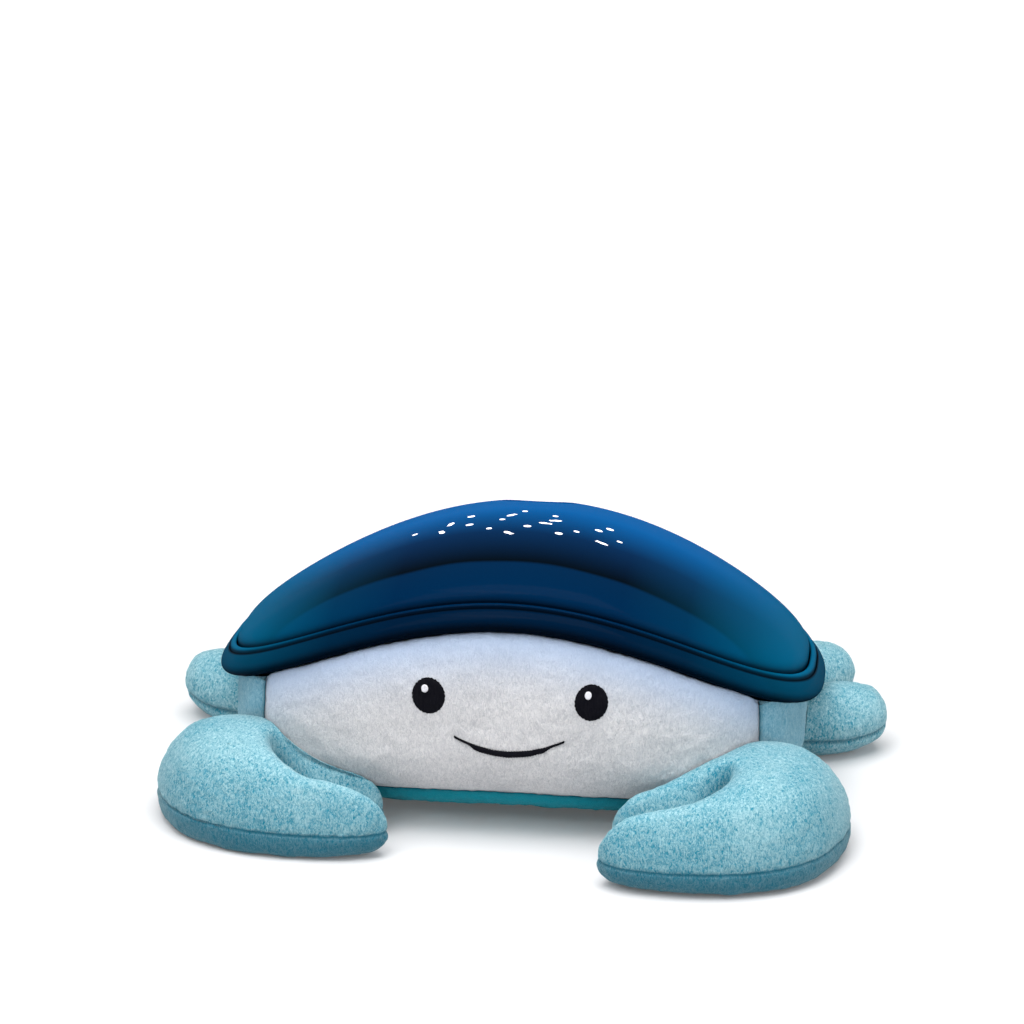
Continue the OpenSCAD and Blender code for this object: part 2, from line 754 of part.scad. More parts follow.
function hem_r(t) = oblong_r(t, tub_half_l + hem_out, tub_half_d + hem_out);
function bulge_r(t) = squircle(t, body_half_w, body_half_d, shell_square);
function neck_r(t) = edge_r(t) + 1;
function neck_z(t) = on_shell(t, neck_r(t), -2 * skin_gap).z;
function bulge_z(t) = mix(hem_z, neck_z(t), bulge_share);
function body_point(t, psi) = psi < 0
    ? at(t, mix(hem_r(t), bulge_r(t), cos(psi)), mix(bulge_z(t), hem_z, -sin(psi)))
    : at(t, mix(neck_r(t), bulge_r(t), cos(psi)), mix(bulge_z(t), neck_z(t), sin(psi)));
function body_r(t, z) =
    let (mid = bulge_z(t), end_r = z < mid ? hem_r(t) : neck_r(t),
        s = z < mid ? (mid - z) / (mid - hem_z) : (z - mid) / (neck_z(t) - mid))
    mix(end_r, bulge_r(t), sqrt(max(0, 1 - s * s)));
function face_y(x, z, y = -body_half_d, n = 6) =
    n == 0 ? y : let (r = body_r(atan2(y, x), z)) face_y(x, z, -sqrt(r * r - x * x), n - 1);

// Inside of the stuffing, clear of the tub and of the tray above it
tub_gap = 0.8;
tray_gap = 1.3;
function under_tray(t, s, gap) = mix(tray_foot(t, 0), tray_lip(t, 0), s) - [0, 0, gap];
function lining(t, low) = [at(t, tub_r(t) + tub_gap, low), at(t, tub_r(t) + tub_gap, tub_top - tray_gap),
    under_tray(t, 0.45, tray_gap), under_tray(t, 0.85, tray_gap)];
function along(points, u) = let (n = len(points) - 1, i = min(n - 1, floor(u * n)))
    mix(points[i], points[i + 1], u * n - i);

seam_half = 0.12;
column_step = 5;

// A stuffed panel of the body from one angle to another, between the first and last of its levels
module stuffed(t0, t1, psis) {
    count = ceil((t1 - t0) / column_step);
    n = len(psis) - 1;
    columns = [for (i = [0 : count]) mix(t0 + seam_half, t1 - seam_half, i / count)];
    outer = [for (t = columns) [for (p = psis) body_point(t, p)]];
    inner = [for (t = columns)
        let (low = body_point(t, psis[0]).z, high = body_point(t, psis[n]).z,
            line = psis[n] == 90 ? lining(t, low) : [for (z = [low, high]) at(t, tub_r(t) + tub_gap, z)])
        [for (j = [0 : n]) along(line, j / n)]];
    panel(outer, inner);
}

chin_seam = 0.8;
side_back = 48;
side_levels = [-90, -70, -50, -30, -12, 6, 30, 54, 78, 90];

module face_plush() {
    color(face_grey) stuffed(-90 - face_half_angle, -90 + face_half_angle,
        concat([chin_seam - chin_angle], [-24, -10, 4, 20, 37, 54, 72, 90]));
}

module chin_plush() {
    color(deep_teal) stuffed(-90 - face_half_angle, -90 + face_half_angle,
        [-90, -78, -66, -54, -chin_angle - chin_seam]);
}

module side_plush_right() color(teal) stuffed(face_half_angle - 90, side_back, side_levels);
module side_plush_left() mirror([1, 0, 0]) side_plush_right();
module rear_plush() color(teal) stuffed(side_back, 180 - side_back, side_levels);

// Limbs swell from the body, and their roots follow its surface a clearance away

root_low = 9;
ground_gap = 0.3;

function outside(p) =
    let (t = atan2(p.y, p.x), need = body_r(t, max(p.z, root_low)) + limb_gap)
    norm([p.x, p.y]) >= need ? p : at(t, need, p.z);

// Outline of a claw round its seam, from the claw's middle line and its front
claw_plan = [[-34, 70], [-48, 51], [-60, 42], [-67, 33], [-61, 26], [-50, 27], [-37, 29], [-49, 22],
    [-62, 17], [-71, 11], [-64, 4], [-49, 0.5], [-30, 0], [-11, 4], [7, 12], [21, 24], [31, 39], [35, 55],
    [31, 72], [20, 88], [4, 100], [-14, 104], [-28, 90]];
claw_back = 40;

function spline(points, i, u) =
    let (n = len(points), a = points[(i + n - 1) % n], b = points[i], c = points[(i + 1) % n],
        d = points[(i + 2) % n])
    b + u / 2 * (c - a + u * (2 * a - 5 * b + 4 * c - d + u * (3 * b - a - 3 * c + d)));
claw_outline = [for (i = [0 : len(claw_plan) - 1], u = [0, 0.5]) spline(claw_plan, i, u)];

function claw_ring(s, z, lean) = [for (p = claw_outline)
    outside([claw_x + p.x * s, mix(claw_back + lean, p.y, s) - claw_front, z])];

module claw_right() {
    crown = claw_h - claw_seam_z;
    belly = claw_seam_z - ground_gap;
    top = [for (s = [0.25, 0.5, 0.7, 0.86, 0.96, 1])
        claw_ring(s, claw_seam_z + crown * sqrt(1 - s * s), claw_lean)];
    bottom = [for (s = [0.96, 0.84, 0.64, 0.4]) claw_ring(s, claw_seam_z - belly * sqrt(1 - pow(s, 3)), 0)];
    color(teal) loft(concat(top, bottom), [claw_x, claw_back + claw_lean - claw_front, claw_h],
        [claw_x, claw_back - claw_front, ground_gap]);
}

module claw_left() mirror([1, 0, 0]) claw_right();

// Swell of a leg along its length, as shares of its length and of its radius
leg_swell = [[-0.3, 0.84], [-0.1, 0.9], [0.15, 0.96], [0.4, 1], [0.62, 0.98], [0.8, 0.86], [0.92, 0.62],
    [0.98, 0.34]];
front_leg_at = 9;
rear_leg_at = 29;
leg_z = leg_r + ground_gap;

module leg(seat, direction) {
    root = at(seat, body_r(seat, leg_z), leg_z);
    ahead = at(direction, 1, 0);
    aside = at(direction - 90, 1, 0);
    rings = [for (w = leg_swell) [for (a = [0 : 18 : 342])
        let (p = root + ahead * leg_l * w[0] + leg_r * w[1] * (aside * cos(a) + [0, 0, sin(a)]))
        outside([p.x, p.y, max(ground_gap, p.z)])]];
    color(teal) loft(rings, outside(root + ahead * leg_l * leg_swell[0][0]), root + ahead * leg_l);
}

module leg_front_right() leg(front_leg_at, front_leg_angle);
module leg_front_left() mirror([1, 0, 0]) leg_front_right();
module leg_rear_right() leg(rear_leg_at, rear_leg_angle);
module leg_rear_left() mirror([1, 0, 0]) leg_rear_right();

// Embroidery lies on the face a hair clear of it

thread_t = 0.7;
glint_r = 1.6;
smile_thin = 0.38;

function patch_ring(x, z, w, h, out) = [for (a = [0 : 15 : 345])
    let (px = x + w * cos(a), pz = z + h * sin(a)) [px, face_y(px, pz) - out, pz]];

module patch(x, z, w, h, low) {
    high = low + thread_t;
    in_w = w * 0.6;
    in_h = h * 0.6;
    loft([patch_ring(x, z, in_w, in_h, high), patch_ring(x, z, w, h, high), patch_ring(x, z, w, h, low),
        patch_ring(x, z, in_w, in_h, low)], [x, face_y(x, z) - high, z], [x, face_y(x, z) - low, z]);
}

module eye_right() color(thread_black) patch(face_shift + eye_x, eye_z, eye_w, eye_h, skin_gap);
module eye_left() color(thread_black) patch(face_shift - eye_x, eye_z, eye_w, eye_h, skin_gap);

module eye_glints() {
    color("white") for (s = [-1, 1])
        patch(face_shift + s * eye_x - eye_w * 0.2, eye_z + eye_h * 0.43, glint_r, glint_r,
            thread_t + 1.5 * skin_gap);
}

// The smile is thick in its middle and thins to both ends, below an even upper edge
function smile_half(u) = smile_t / 2 * (abs(u) < 0.7 ? 1 - 0.3 * u * u : smile_thin);
function smile_ring(u) =
    let (x = face_shift + smile_w * u, half = smile_half(u),
        z = smile_z - smile_sag * (1 - u * u) + smile_half(1) - half)
    [for (a = [0 : 45 : 315])
        let (pz = z + half * cos(a)) [x, face_y(x, pz) - skin_gap - thread_t / 2 * (1 - sin(a)), pz]];

module smile() {
    rings = [for (u = [-1 : 0.125 : 1]) smile_ring(u)];
    color(thread_black) loft(rings, middle(rings[0]), middle(rings[len(rings) - 1]));
}

stand() shell();
stand() window_dome();
stand() shell_tray();
stand() control_panel();
stand() power_button();
stand() melody_button();
stand() volume_up_button();
stand() volume_down_button();
stand() button_board();
stand() lower_housing();
stand() rubber_feet();
stand() battery_door();
stand() door_screw();
stand() battery_cells();
stand() battery_springs();
stand() battery_contacts();
stand() main_board();
stand() board_screws();
stand() speaker();
stand() speaker_cone();
stand() chassis_plate();
stand() chassis_screws();
stand() led_board();
stand() led_emitter();
stand() reflector_cup();
stand() gear_motor();
stand() drive_pinion();
stand() wheel_pin();
stand() wave_wheel();
stand() lens_bracket();
stand() ripple_lens();
stand() face_plush();
stand() chin_plush();
stand() side_plush_left();
stand() side_plush_right();
stand() rear_plush();
stand() claw_left();
stand() claw_right();
stand() leg_front_left();
stand() leg_front_right();
stand() leg_rear_left();
stand() leg_rear_right();
stand() eye_left();
stand() eye_right();
stand() eye_glints();
stand() smile();
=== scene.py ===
"""Looks of the plush crab night light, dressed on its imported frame.

Shapes are worked out in millimetres round the lamp's axis and stored in metres in the frame of the part.
"""
from __future__ import annotations

import json
import logging
import math
from dataclasses import dataclass, field, replace
from enum import Enum
from itertools import product
from typing import Any

import bpy
import numpy as np
from mathutils import Matrix, Vector

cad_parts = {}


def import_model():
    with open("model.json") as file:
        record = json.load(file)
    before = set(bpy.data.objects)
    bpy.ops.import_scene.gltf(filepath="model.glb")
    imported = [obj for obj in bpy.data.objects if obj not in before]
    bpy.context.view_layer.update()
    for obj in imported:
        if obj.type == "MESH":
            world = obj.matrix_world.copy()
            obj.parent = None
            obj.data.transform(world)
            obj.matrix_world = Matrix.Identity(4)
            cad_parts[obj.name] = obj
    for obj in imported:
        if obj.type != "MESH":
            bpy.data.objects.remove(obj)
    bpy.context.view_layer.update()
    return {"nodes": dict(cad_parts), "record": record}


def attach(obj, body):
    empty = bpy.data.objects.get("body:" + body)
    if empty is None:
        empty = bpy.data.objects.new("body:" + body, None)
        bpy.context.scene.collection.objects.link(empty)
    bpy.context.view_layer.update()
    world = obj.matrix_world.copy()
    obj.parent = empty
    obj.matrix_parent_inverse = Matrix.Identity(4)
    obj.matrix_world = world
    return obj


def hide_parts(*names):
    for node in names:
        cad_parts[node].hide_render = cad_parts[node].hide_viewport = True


Array = np.ndarray
Colour = tuple[float, float, float]
Layers = tuple[tuple[float, float, int], ...]
Socket, Material, Thing = bpy.types.NodeSocket, bpy.types.Material, bpy.types.Object

log = logging.getLogger("crab")
MM = 0.001
AXIS_Y = 18.75
PHOTO_SIZE = 1024
BODY = "crab_body"
CLOTH_FRAMES = 20
FINER = 4
SETTLE_ROUNDS = 8
GROUND = 0.4
LIMB_GAP = 1.0
LIMB_LOW = 9.0


class Side(Enum):
    """Side of the crab as seen by someone who faces it."""

    LEFT = -1
    RIGHT = 1

    @property
    def word(self) -> str:
        """The side's word in node names."""
        return self.name.lower()


class Pair(Enum):
    """Which of the two pairs of legs."""

    FRONT = "front"
    REAR = "rear"


# Numbers and meshes


def linear(red: int, green: int, blue: int) -> Colour:
    """Linear colour of a screen colour given from 0 to 255."""
    c = np.array([red, green, blue]) / 255.0
    return tuple(float(v) for v in np.where(c <= 0.04045, c / 12.92, ((c + 0.055) / 1.055) ** 2.4))


def mix(a: Any, b: Any, share: Any) -> Any:
    """Value the given share of the way from a to b."""
    return a + (b - a) * share


def smooth(x: Array) -> Array:
    """Ramp from 0 to 1 that starts and ends level: 3x^2 - 2x^3 on x held between 0 and 1."""
    x = np.clip(x, 0.0, 1.0)
    return x * x * (3 - 2 * x)


def bell(x: Array, width: float, high: float = 1.0) -> Array:
    """Bell curve with its height at 0 and 1/e of it at the width."""
    return high * np.exp(-((x / width) ** 2))


def turns(count: int) -> Array:
    """Angles of even steps round a full turn."""
    return np.linspace(0, 2 * math.pi, count, endpoint=False)


def unit(vectors: Array) -> Array:
    """Each vector divided by its length."""
    return vectors / np.maximum(np.linalg.norm(vectors, axis=-1, keepdims=True), 1e-9)


def scatter(cells: Array, seed: int) -> Array:
    """Repeatable number from 0 to 1 for each whole cell, from the mixed bits of its three indices.

    Args:
        cells: whole numbers, three to a cell.
        seed: number that picks one scatter among many.

    Returns:
        One number for each cell.
    """
    c = cells.astype(np.int64)
    h = (c[..., 0] * 73856093) ^ (c[..., 1] * 19349663) ^ (c[..., 2] * 83492791) ^ (seed * 2654435761)
    h = (h ^ (h >> 13)) * 1274126177 & 0xFFFFFFFF
    return ((h ^ (h >> 16)) & 0xFFFFFF) / float(0xFFFFFF)


def noise(points: Array, size: float, seed: int) -> Array:
    """Smooth random height from -1 to 1: the scatter at the eight corners of a point's cell, mixed by smooth ramps.

    Args:
        points: places, three numbers each.
        size: width of a cell.
        seed: number that picks the pattern.

    Returns:
        One height for each place.
    """
    p = points / size
    base = np.floor(p)
    ramp = smooth(p - base)
    total = np.zeros(points.shape[:-1])
    for corner in product((0, 1), repeat=3):
        k = np.array(corner)
        weight = np.prod(np.where(k == 1, ramp, 1 - ramp), axis=-1)
        total += weight * scatter(base + k, seed)
    return 2 * total - 1


def relief(points: Array, layers: Layers) -> Array:
    """Sum of layers of noise, each given by its height, its width and its seed."""
    return sum(height * noise(points, size, seed) for height, size, seed in layers)


def lengths(points: Array, axis: int) -> Array:
    """Way run from the edge of a grid of points to each of them, down its rows, axis 0, or along them, axis 1."""
    first = np.take(points, [0], axis=axis)
    return np.cumsum(np.linalg.norm(np.diff(points, axis=axis, prepend=first), axis=-1), axis=axis)


def cubic(a: Array, b: Array, c: Array, d: Array, u: Array) -> Array:
    """Cubic from b to c over the share u, whose slope at each is half the chord past it."""
    return b + u / 2 * (c - a + u * (2 * a - 5 * b + 4 * c - d + u * (3 * b - a - 3 * c + d)))


def spline(points: Array, steps: int) -> Array:
    """Closed curve through the points, a cubic on each span.

    Args:
        points: the points in order.
        steps: points of the curve on each span.

    Returns:
        The points of the curve.
    """
    a, b, c, d = (np.roll(points, k, axis=0)[:, None, :] for k in (1, 0, -1, -2))
    u = (np.arange(steps) / steps)[None, :, None]
    return cubic(a, b, c, d, u).reshape(-1, points.shape[1])


def resample(rows: Array, places: Array, wrap: bool) -> Array:
    """Values between rows of an array, by the same cubic as spline, along its first axis.

    Args:
        rows: the values, row by row.
        places: row numbers with fractions at which values are wanted.
        wrap: whether the first row follows the last.

    Returns:
        One row for each place.
    """
    n = len(rows)
    base = np.floor(places).astype(int)
    u = (places - base).reshape((-1,) + (1,) * (rows.ndim - 1))
    index = [base + k for k in (-1, 0, 1, 2)]
    a, b, c, d = (rows[k % n] if wrap else rows[np.clip(k, 0, n - 1)] for k in index)
    return cubic(a, b, c, d, u)


def refine(grid: Array, rows: Array, cols: Array, wrap: bool) -> Array:
    """Values between the rows and columns of a grid, whose first column may follow the last, by resample both ways."""
    return np.swapaxes(resample(np.swapaxes(resample(grid, rows, False), 0, 1), cols, wrap), 0, 1)


def grid_faces(rows: int, cols: int, wrap: bool) -> Array:
    """Quads between neighbouring rows and columns of a grid.

    Args:
        rows: number of rows.
        cols: number of columns.
        wrap: whether the first column follows the last.

    Returns:
        Four point numbers for each face.
    """
    i = np.arange(rows - 1)[:, None]
    j = np.arange(cols if wrap else cols - 1)[None, :]
    k = (j + 1) % cols
    return np.stack([i * cols + j, i * cols + k, (i + 1) * cols + k, (i + 1) * cols + j], -1).reshape(-1, 4)


def fans(rows: int, cols: int) -> Array:
    """Triangles that close the two ends of a tube of rings, to a point after the rings and to the next one.

    Args:
        rows: number of rings.
        cols: points to a ring.

    Returns:
        Three point numbers for each face.
    """
    j = np.arange(cols)
    k = (j + 1) % cols
    end = rows * cols
    low = np.stack([np.full(cols, end), k, j], -1)
    high = np.stack([np.full(cols, end + 1), end - cols + j, end - cols + k], -1)
    return np.concatenate([low, high])


def normals(points: Array, wrap: bool) -> Array:
    """Unit normals of a grid of points: the cross product of the steps along its columns and its rows.

    Args:
        points: rows of points.
        wrap: whether the first column follows the last.

    Returns:
        One normal for each point.
    """
    if wrap:
        across = np.roll(points, -1, axis=1) - np.roll(points, 1, axis=1)
    else:
        across = np.gradient(points, axis=1)
    return unit(np.cross(across, np.gradient(points, axis=0)))


@dataclass
class Surface:
    """A closed or open mesh in millimetres round the lamp's axis.

    Its attributes hold the painted shade at each point, in seams and grooves and on shaded parts, and the painted light
    that it takes from the shell's glow.
    """

    points: Array
    quads: Array
    tris: Array = field(default_factory=lambda: np.zeros((0, 3), int))
    seam: Array | None = None
    lit: Array | None = None

    def faced(self) -> "Surface":
        """Turns the faces of a closed mesh outwards, by the sign of its volume.

        Returns:
            The same mesh with its faces outwards.
        """
        parts = [self.quads[:, [0, 1, 2]], self.quads[:, [0, 2, 3]], self.tris]
        a, b, c = (self.points[np.concatenate(parts)[:, k]] for k in range(3))
        if np.einsum("ij,ij->", a, np.cross(b, c)) < 0:
            return replace(self, quads=self.quads[:, ::-1], tris=self.tris[:, ::-1])
        return self

    def mirrored(self) -> "Surface":
        """The mesh on the other side of the crab."""
        flipped = self.points * np.array([-1.0, 1.0, 1.0])
        return replace(self, points=flipped, quads=self.quads[:, ::-1], tris=self.tris[:, ::-1])

    def build(self, name: str) -> Thing:
        """Puts the mesh into the scene, in metres in the part's frame.

        Args:
            name: name of the object.

        Returns:
            The new object.
        """
        mesh = bpy.data.meshes.new(name)
        mesh.vertices.add(len(self.points))
        place = (self.points + np.array([0.0, AXIS_Y, 0.0])) * MM
        mesh.vertices.foreach_set("co", place.astype(np.float32).ravel())
        corners = np.concatenate([self.quads.ravel(), self.tris.ravel()]).astype(np.int32)
        split = 4 * len(self.quads)
        starts = np.concatenate([np.arange(0, split, 4), np.arange(split, len(corners), 3)]).astype(np.int32)
        mesh.loops.add(len(corners))
        mesh.loops.foreach_set("vertex_index", corners)
        mesh.polygons.add(len(starts))
        mesh.polygons.foreach_set("loop_start", starts)
        mesh.update(calc_edges=True)
        mesh.validate()
        mesh.shade_smooth()
        for word, values in (("seam", self.seam), ("lit", self.lit)):
            if values is not None:
                mesh.attributes.new(word, "FLOAT", "POINT").data.foreach_set("value", values.astype(np.float32))
        thing = bpy.data.objects.new(name, mesh)
        bpy.context.scene.collection.objects.link(thing)
        return thing


def tube(rings: Array, seam: Array | None = None, ends: tuple[float, float] = (0.0, 0.0)) -> Surface:
    """Closed mesh of rings, drawn together at both ends in the middle of the last ring.

    Args:
        rings: rows of points.
        seam: painted shade at each point, in seams and on shaded parts, if there is any.
        ends: the same for the two middles.

    Returns:
        The mesh, its faces outwards.
    """
    rows, cols = rings.shape[:2]
    middles = np.array([rings[0].mean(0), rings[-1].mean(0)])
    points = np.concatenate([rings.reshape(-1, 3), middles])
    sewn = None if seam is None else np.concatenate([seam.ravel(), ends])
    return Surface(points, grid_faces(rows, cols, True), fans(rows, cols), sewn).faced()


def stand_in(surface: Surface, name: str, node: str, body: str, material: Material) -> Thing:
    """Builds a piece in place of its solid.

    Args:
        surface: its mesh.
        name: its name.
        node: the solid that it stands for.
        body: the body that it rides on.
        material: its finish.

    Returns:
        The piece.
    """
    thing = surface.build(name)
    thing.data.materials.append(material)
    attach(thing, body)
    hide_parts(node)
    return thing


def swell(cloth: Surface, pinned: Array, pressure: float, most: float) -> Array:
    """Blows air into a sewn cloth and lets it settle, by Blender's cloth solver with no gravity.

    Args:
        cloth: the cloth as it is cut, in millimetres.
        pinned: for each point, whether its seam holds it.
        pressure: air pressure inside.
        most: furthest that a point may move, in millimetres.

    Returns:
        How far each point moves, in millimetres.
    """
    scene = bpy.context.scene
    thing = cloth.build("cloth_in_the_making")
    group = thing.vertex_groups.new(name="held")
    group.add([int(i) for i in np.flatnonzero(pinned)], 1.0, "REPLACE")
    modifier = thing.modifiers.new("air", "CLOTH")
    settings = modifier.settings
    settings.quality = 5
    settings.mass = 0.15
    settings.use_pressure = True
    settings.uniform_pressure_force = pressure
    settings.vertex_group_mass = "held"
    settings.effector_weights.gravity = 0.0
    modifier.collision_settings.use_collision = False
    modifier.point_cache.frame_start = 1
    modifier.point_cache.frame_end = CLOTH_FRAMES
    for step in range(1, CLOTH_FRAMES + 1):
        scene.frame_set(step)
    settled = thing.evaluated_get(bpy.context.evaluated_depsgraph_get()).data
    flat = np.zeros(3 * len(settled.vertices), np.float32)
    settled.vertices.foreach_get("co", flat)
    scene.frame_set(1)
    mesh = thing.data
    bpy.data.objects.remove(thing)
    bpy.data.meshes.remove(mesh)
    moved = flat.reshape(-1, 3) / MM - np.array([0.0, AXIS_Y, 0.0]) - cloth.points
    far = np.linalg.norm(moved, axis=1, keepdims=True)
    return moved * np.minimum(1.0, most / np.maximum(far, 1e-6))


# Finishes


class Tree:
    """Node tree of a new material, with its shader at hand."""

    def __init__(self, name: str) -> None:
        """Starts a material.

        Args:
            name: name of the material.
        """
        self.material = bpy.data.materials.new(name)
        self.material.use_nodes = True
        self.nodes = self.material.node_tree.nodes
        self.shader = self.nodes["Principled BSDF"]
        self.coords = self.add("ShaderNodeTexCoord").outputs["Object"]

    def add(self, kind: str, **values: Any) -> bpy.types.Node:
        """Adds a node and sets its properties.

        Args:
            kind: Blender's name for the node.
            values: its properties.

        Returns:
            The node.
        """
        node = self.nodes.new(kind)
        for key, value in values.items():
            setattr(node, key, value)
        return node

    def link(self, source: Socket, target: Socket) -> None:
        """Joins an output to an input."""
        self.material.node_tree.links.new(source, target)

    def put(self, socket: Socket, value: Any) -> None:
        """Feeds an input from an output, or sets it to a number or a colour.

        Args:
            socket: the input.
            value: an output, a number or a colour.
        """
        if isinstance(value, Socket):
            self.link(value, socket)
        else:
            socket.default_value = value if isinstance(value, float) else (*value, 1.0)

    def set(self, **values: Any) -> None:
        """Sets the shader's own sockets, underscores in their names standing for spaces."""
        for key, value in values.items():
            self.put(self.shader.inputs[key.replace("_", " ")], value)

    def stored(self, word: str) -> Socket:
        """The value that the mesh stores at its points under a word."""
        return self.add("ShaderNodeAttribute", attribute_name=word).outputs["Fac"]

    def stretched(self, *scale: float) -> Socket:
        """Scales the piece's own space along its three axes.

        Args:
            scale: the three scales.

        Returns:
            The stretched space.
        """
        node = self.add("ShaderNodeMapping")
        node.inputs["Scale"].default_value = scale
        self.link(self.coords, node.inputs["Vector"])
        return node.outputs[0]

    def grain(self, scale: float, detail: float = 2.0, bend: float = 0.0, space: Socket | None = None) -> Socket:
        """Noise over the piece's own space.

        Args:
            scale: grains to the metre.
            detail: finer layers.
            bend: how far the pattern is bent out of shape.
            space: stretched space that takes the place of the plain one.

        Returns:
            The height of the noise.
        """
        node = self.add("ShaderNodeTexNoise")
        for word, value in (("Scale", scale), ("Detail", detail), ("Distortion", bend)):
            node.inputs[word].default_value = value
        self.link(self.coords if space is None else space, node.inputs["Vector"])
        return node.outputs[0]

    def ramp(self, source: Socket, stops: list[tuple[float, Colour]]) -> Socket:
        """Colours along a value.

        Args:
            source: the value.
            stops: places along it with their colours.

        Returns:
            The colour.
        """
        node = self.add("ShaderNodeValToRGB")
        bar = node.color_ramp
        while len(bar.elements) < len(stops):
            bar.elements.new(0.5)
        for element, (place, colour) in zip(bar.elements, stops):
            element.position = place
            element.color = (*colour, 1.0)
        self.link(source, node.inputs["Fac"])
        return node.outputs["Color"]

    def math(self, operation: str, a: Any, b: Any) -> Socket:
        """One sum of two values, each a socket or a number.

        Args:
            operation: Blender's name for the sum.
            a: first value.
            b: second value.

        Returns:
            The result.
        """
        node = self.add("ShaderNodeMath", operation=operation)
        for socket, value in zip(node.inputs, (a, b)):
            self.put(socket, value)
        return node.outputs[0]

    def blend(self, share: Socket, a: Any, b: Any) -> Socket:
        """Mix of two colours, each a socket or a colour.

        Args:
            share: how much of the second.
            a: first colour.
            b: second colour.

        Returns:
            The mixed colour.
        """
        node = self.add("ShaderNodeMix", data_type="RGBA")
        for place, value in ((0, share), (6, a), (7, b)):
            self.put(node.inputs[place], value)
        return node.outputs[2]

    def bump(self, height: Socket, depth: float, strength: float) -> None:
        """Raises the surface by a height.

        Args:
            height: the height from 0 to 1.
            depth: depth of 1 in metres.
            strength: share of it that shows.
        """
        node = self.add("ShaderNodeBump")
        node.inputs["Strength"].default_value = strength
        node.inputs["Distance"].default_value = depth
        self.link(height, node.inputs["Height"])
        self.link(node.outputs["Normal"], self.shader.inputs["Normal"])

    def dull(self, source: Socket, low: float, high: float) -> None:
        """Lets a value carry the shader's roughness.

        Args:
            source: the value from 0 to 1.
            low: roughness at 0.
            high: roughness at 1.
        """
        node = self.add("ShaderNodeMapRange")
        node.inputs["To Min"].default_value = low
        node.inputs["To Max"].default_value = high
        self.link(source, node.inputs["Value"])
        self.link(node.outputs[0], self.shader.inputs["Roughness"])


@dataclass(frozen=True)
class Fleece:
    """Short-pile fleece whose nap shows pale tips and dark roots in small worms."""

    name: str
    tip: Colour
    root: Colour
    # seam is the colour of its painted shade, lit the colour of its painted light from the shell's glow
    seam: Colour
    lit: Colour
    lay: tuple[float, float, float] = (1.0, 0.8, 0.5)
    worms: float = 1150.0
    worm_share: float = 0.7
    patches: float = 42.0
    patch_share: float = 0.2
    contrast: float = 0.28
    pile: float = 0.0009
    sheen_white: float = 0.2

    def material(self) -> Material:
        """Makes the finish: noise drawn out upwards for the nap, slow noise for brushed patches.

        Painted shade darkens it in the seams and on shaded parts, and painted light from the shell's glow tints it near
        the shell.

        Returns:
            The material.
        """
        tree = Tree(self.name)
        lay = tree.stretched(*self.lay)
        worm = tree.grain(self.worms, 3.0, 1.2, lay)
        fibre = tree.grain(self.worms * 4, space=lay)
        parts = (tree.math("MULTIPLY", worm, self.worm_share), tree.math("MULTIPLY", fibre, 1 - self.worm_share))
        height = tree.math("ADD", *parts)
        patch = tree.math("MULTIPLY", tree.math("SUBTRACT", tree.grain(self.patches), 0.5), self.patch_share)
        half = self.contrast / 2
        colour = tree.ramp(tree.math("ADD", height, patch), [(0.5 - half, self.root), (0.5 + half, self.tip)])
        # painted light: the shell's glow tints the cloth near the neck
        colour = tree.blend(tree.stored("lit"), colour, self.lit)
        sheen = tuple(mix(np.array(self.tip), np.ones(3), self.sheen_white))
        # painted shade: darker in seam creases, on steep flanks and under the limbs
        tree.set(Base_Color=tree.blend(tree.stored("seam"), colour, self.seam), Sheen_Tint=sheen)
        tree.set(Roughness=0.95, Specular_IOR_Level=0.1, Sheen_Weight=0.6, Sheen_Roughness=0.4)
        tree.bump(height, self.pile, 0.7)
        return tree.material


@dataclass(frozen=True)
class TintedShell:
    """Polished dark blue plastic with painted light and shade in its colour.

    A painted dark reflection band lies where its front turns into its top, a painted glow brightens it towards the
    crest, a painted teal glow lies on its ends, and painted shade lies in its grooves, under its rim and inside.
    """

    name: str
    # The first four colours run from front to back with a painted dark reflection band and a painted glow towards the
    # crest; teal is a painted glow at the ends, black painted shade in the grooves, under the rim and inside.
    panel: Colour
    dark: Colour
    middle: Colour
    crest_glow: Colour
    teal: Colour
    black: Colour
    stops: tuple[float, ...] = (0.292, 0.312, 0.58, 0.92)
    ends: tuple[tuple[float, float], ...] = ((0.38, 0.0), (0.6, 0.12), (0.8, 0.5), (0.98, 1.0))
    front: float = 0.085
    per_depth: float = 7.14
    per_half_width: float = 8.26

    def material(self) -> Material:
        """Makes the finish: painted reflection and glow from front to back, a painted glow from the middle to the ends,
        and painted shade in the grooves.

        Returns:
            The material.
        """
        tree = Tree(self.name)
        split = tree.add("ShaderNodeSeparateXYZ")
        tree.link(tree.coords, split.inputs[0])
        flow = tree.math("MULTIPLY", tree.math("SUBTRACT", tree.grain(16.0), 0.5), 0.06)
        deep = tree.math("MULTIPLY", tree.math("ADD", split.outputs["Y"], self.front), self.per_depth)
        hues = (self.panel, self.dark, self.middle, self.crest_glow)
        # painted reflection band and painted crest glow, by depth
        colour = tree.ramp(tree.math("ADD", deep, flow), list(zip(self.stops, hues)))
        out = tree.math("MULTIPLY", tree.math("ABSOLUTE", split.outputs["X"], 0.0), self.per_half_width)
        # painted teal glow towards the ends
        colour = tree.blend(tree.ramp(out, [(place, (share,) * 3) for place, share in self.ends]), colour, self.teal)
        # painted shade in the grooves, under the rim and inside
        tree.set(Base_Color=tree.blend(tree.stored("seam"), colour, self.black))
        tree.set(Roughness=0.4, Specular_IOR_Level=0.0, Coat_Weight=0.018, Coat_Roughness=0.08, Coat_IOR=1.5)
        return tree.material


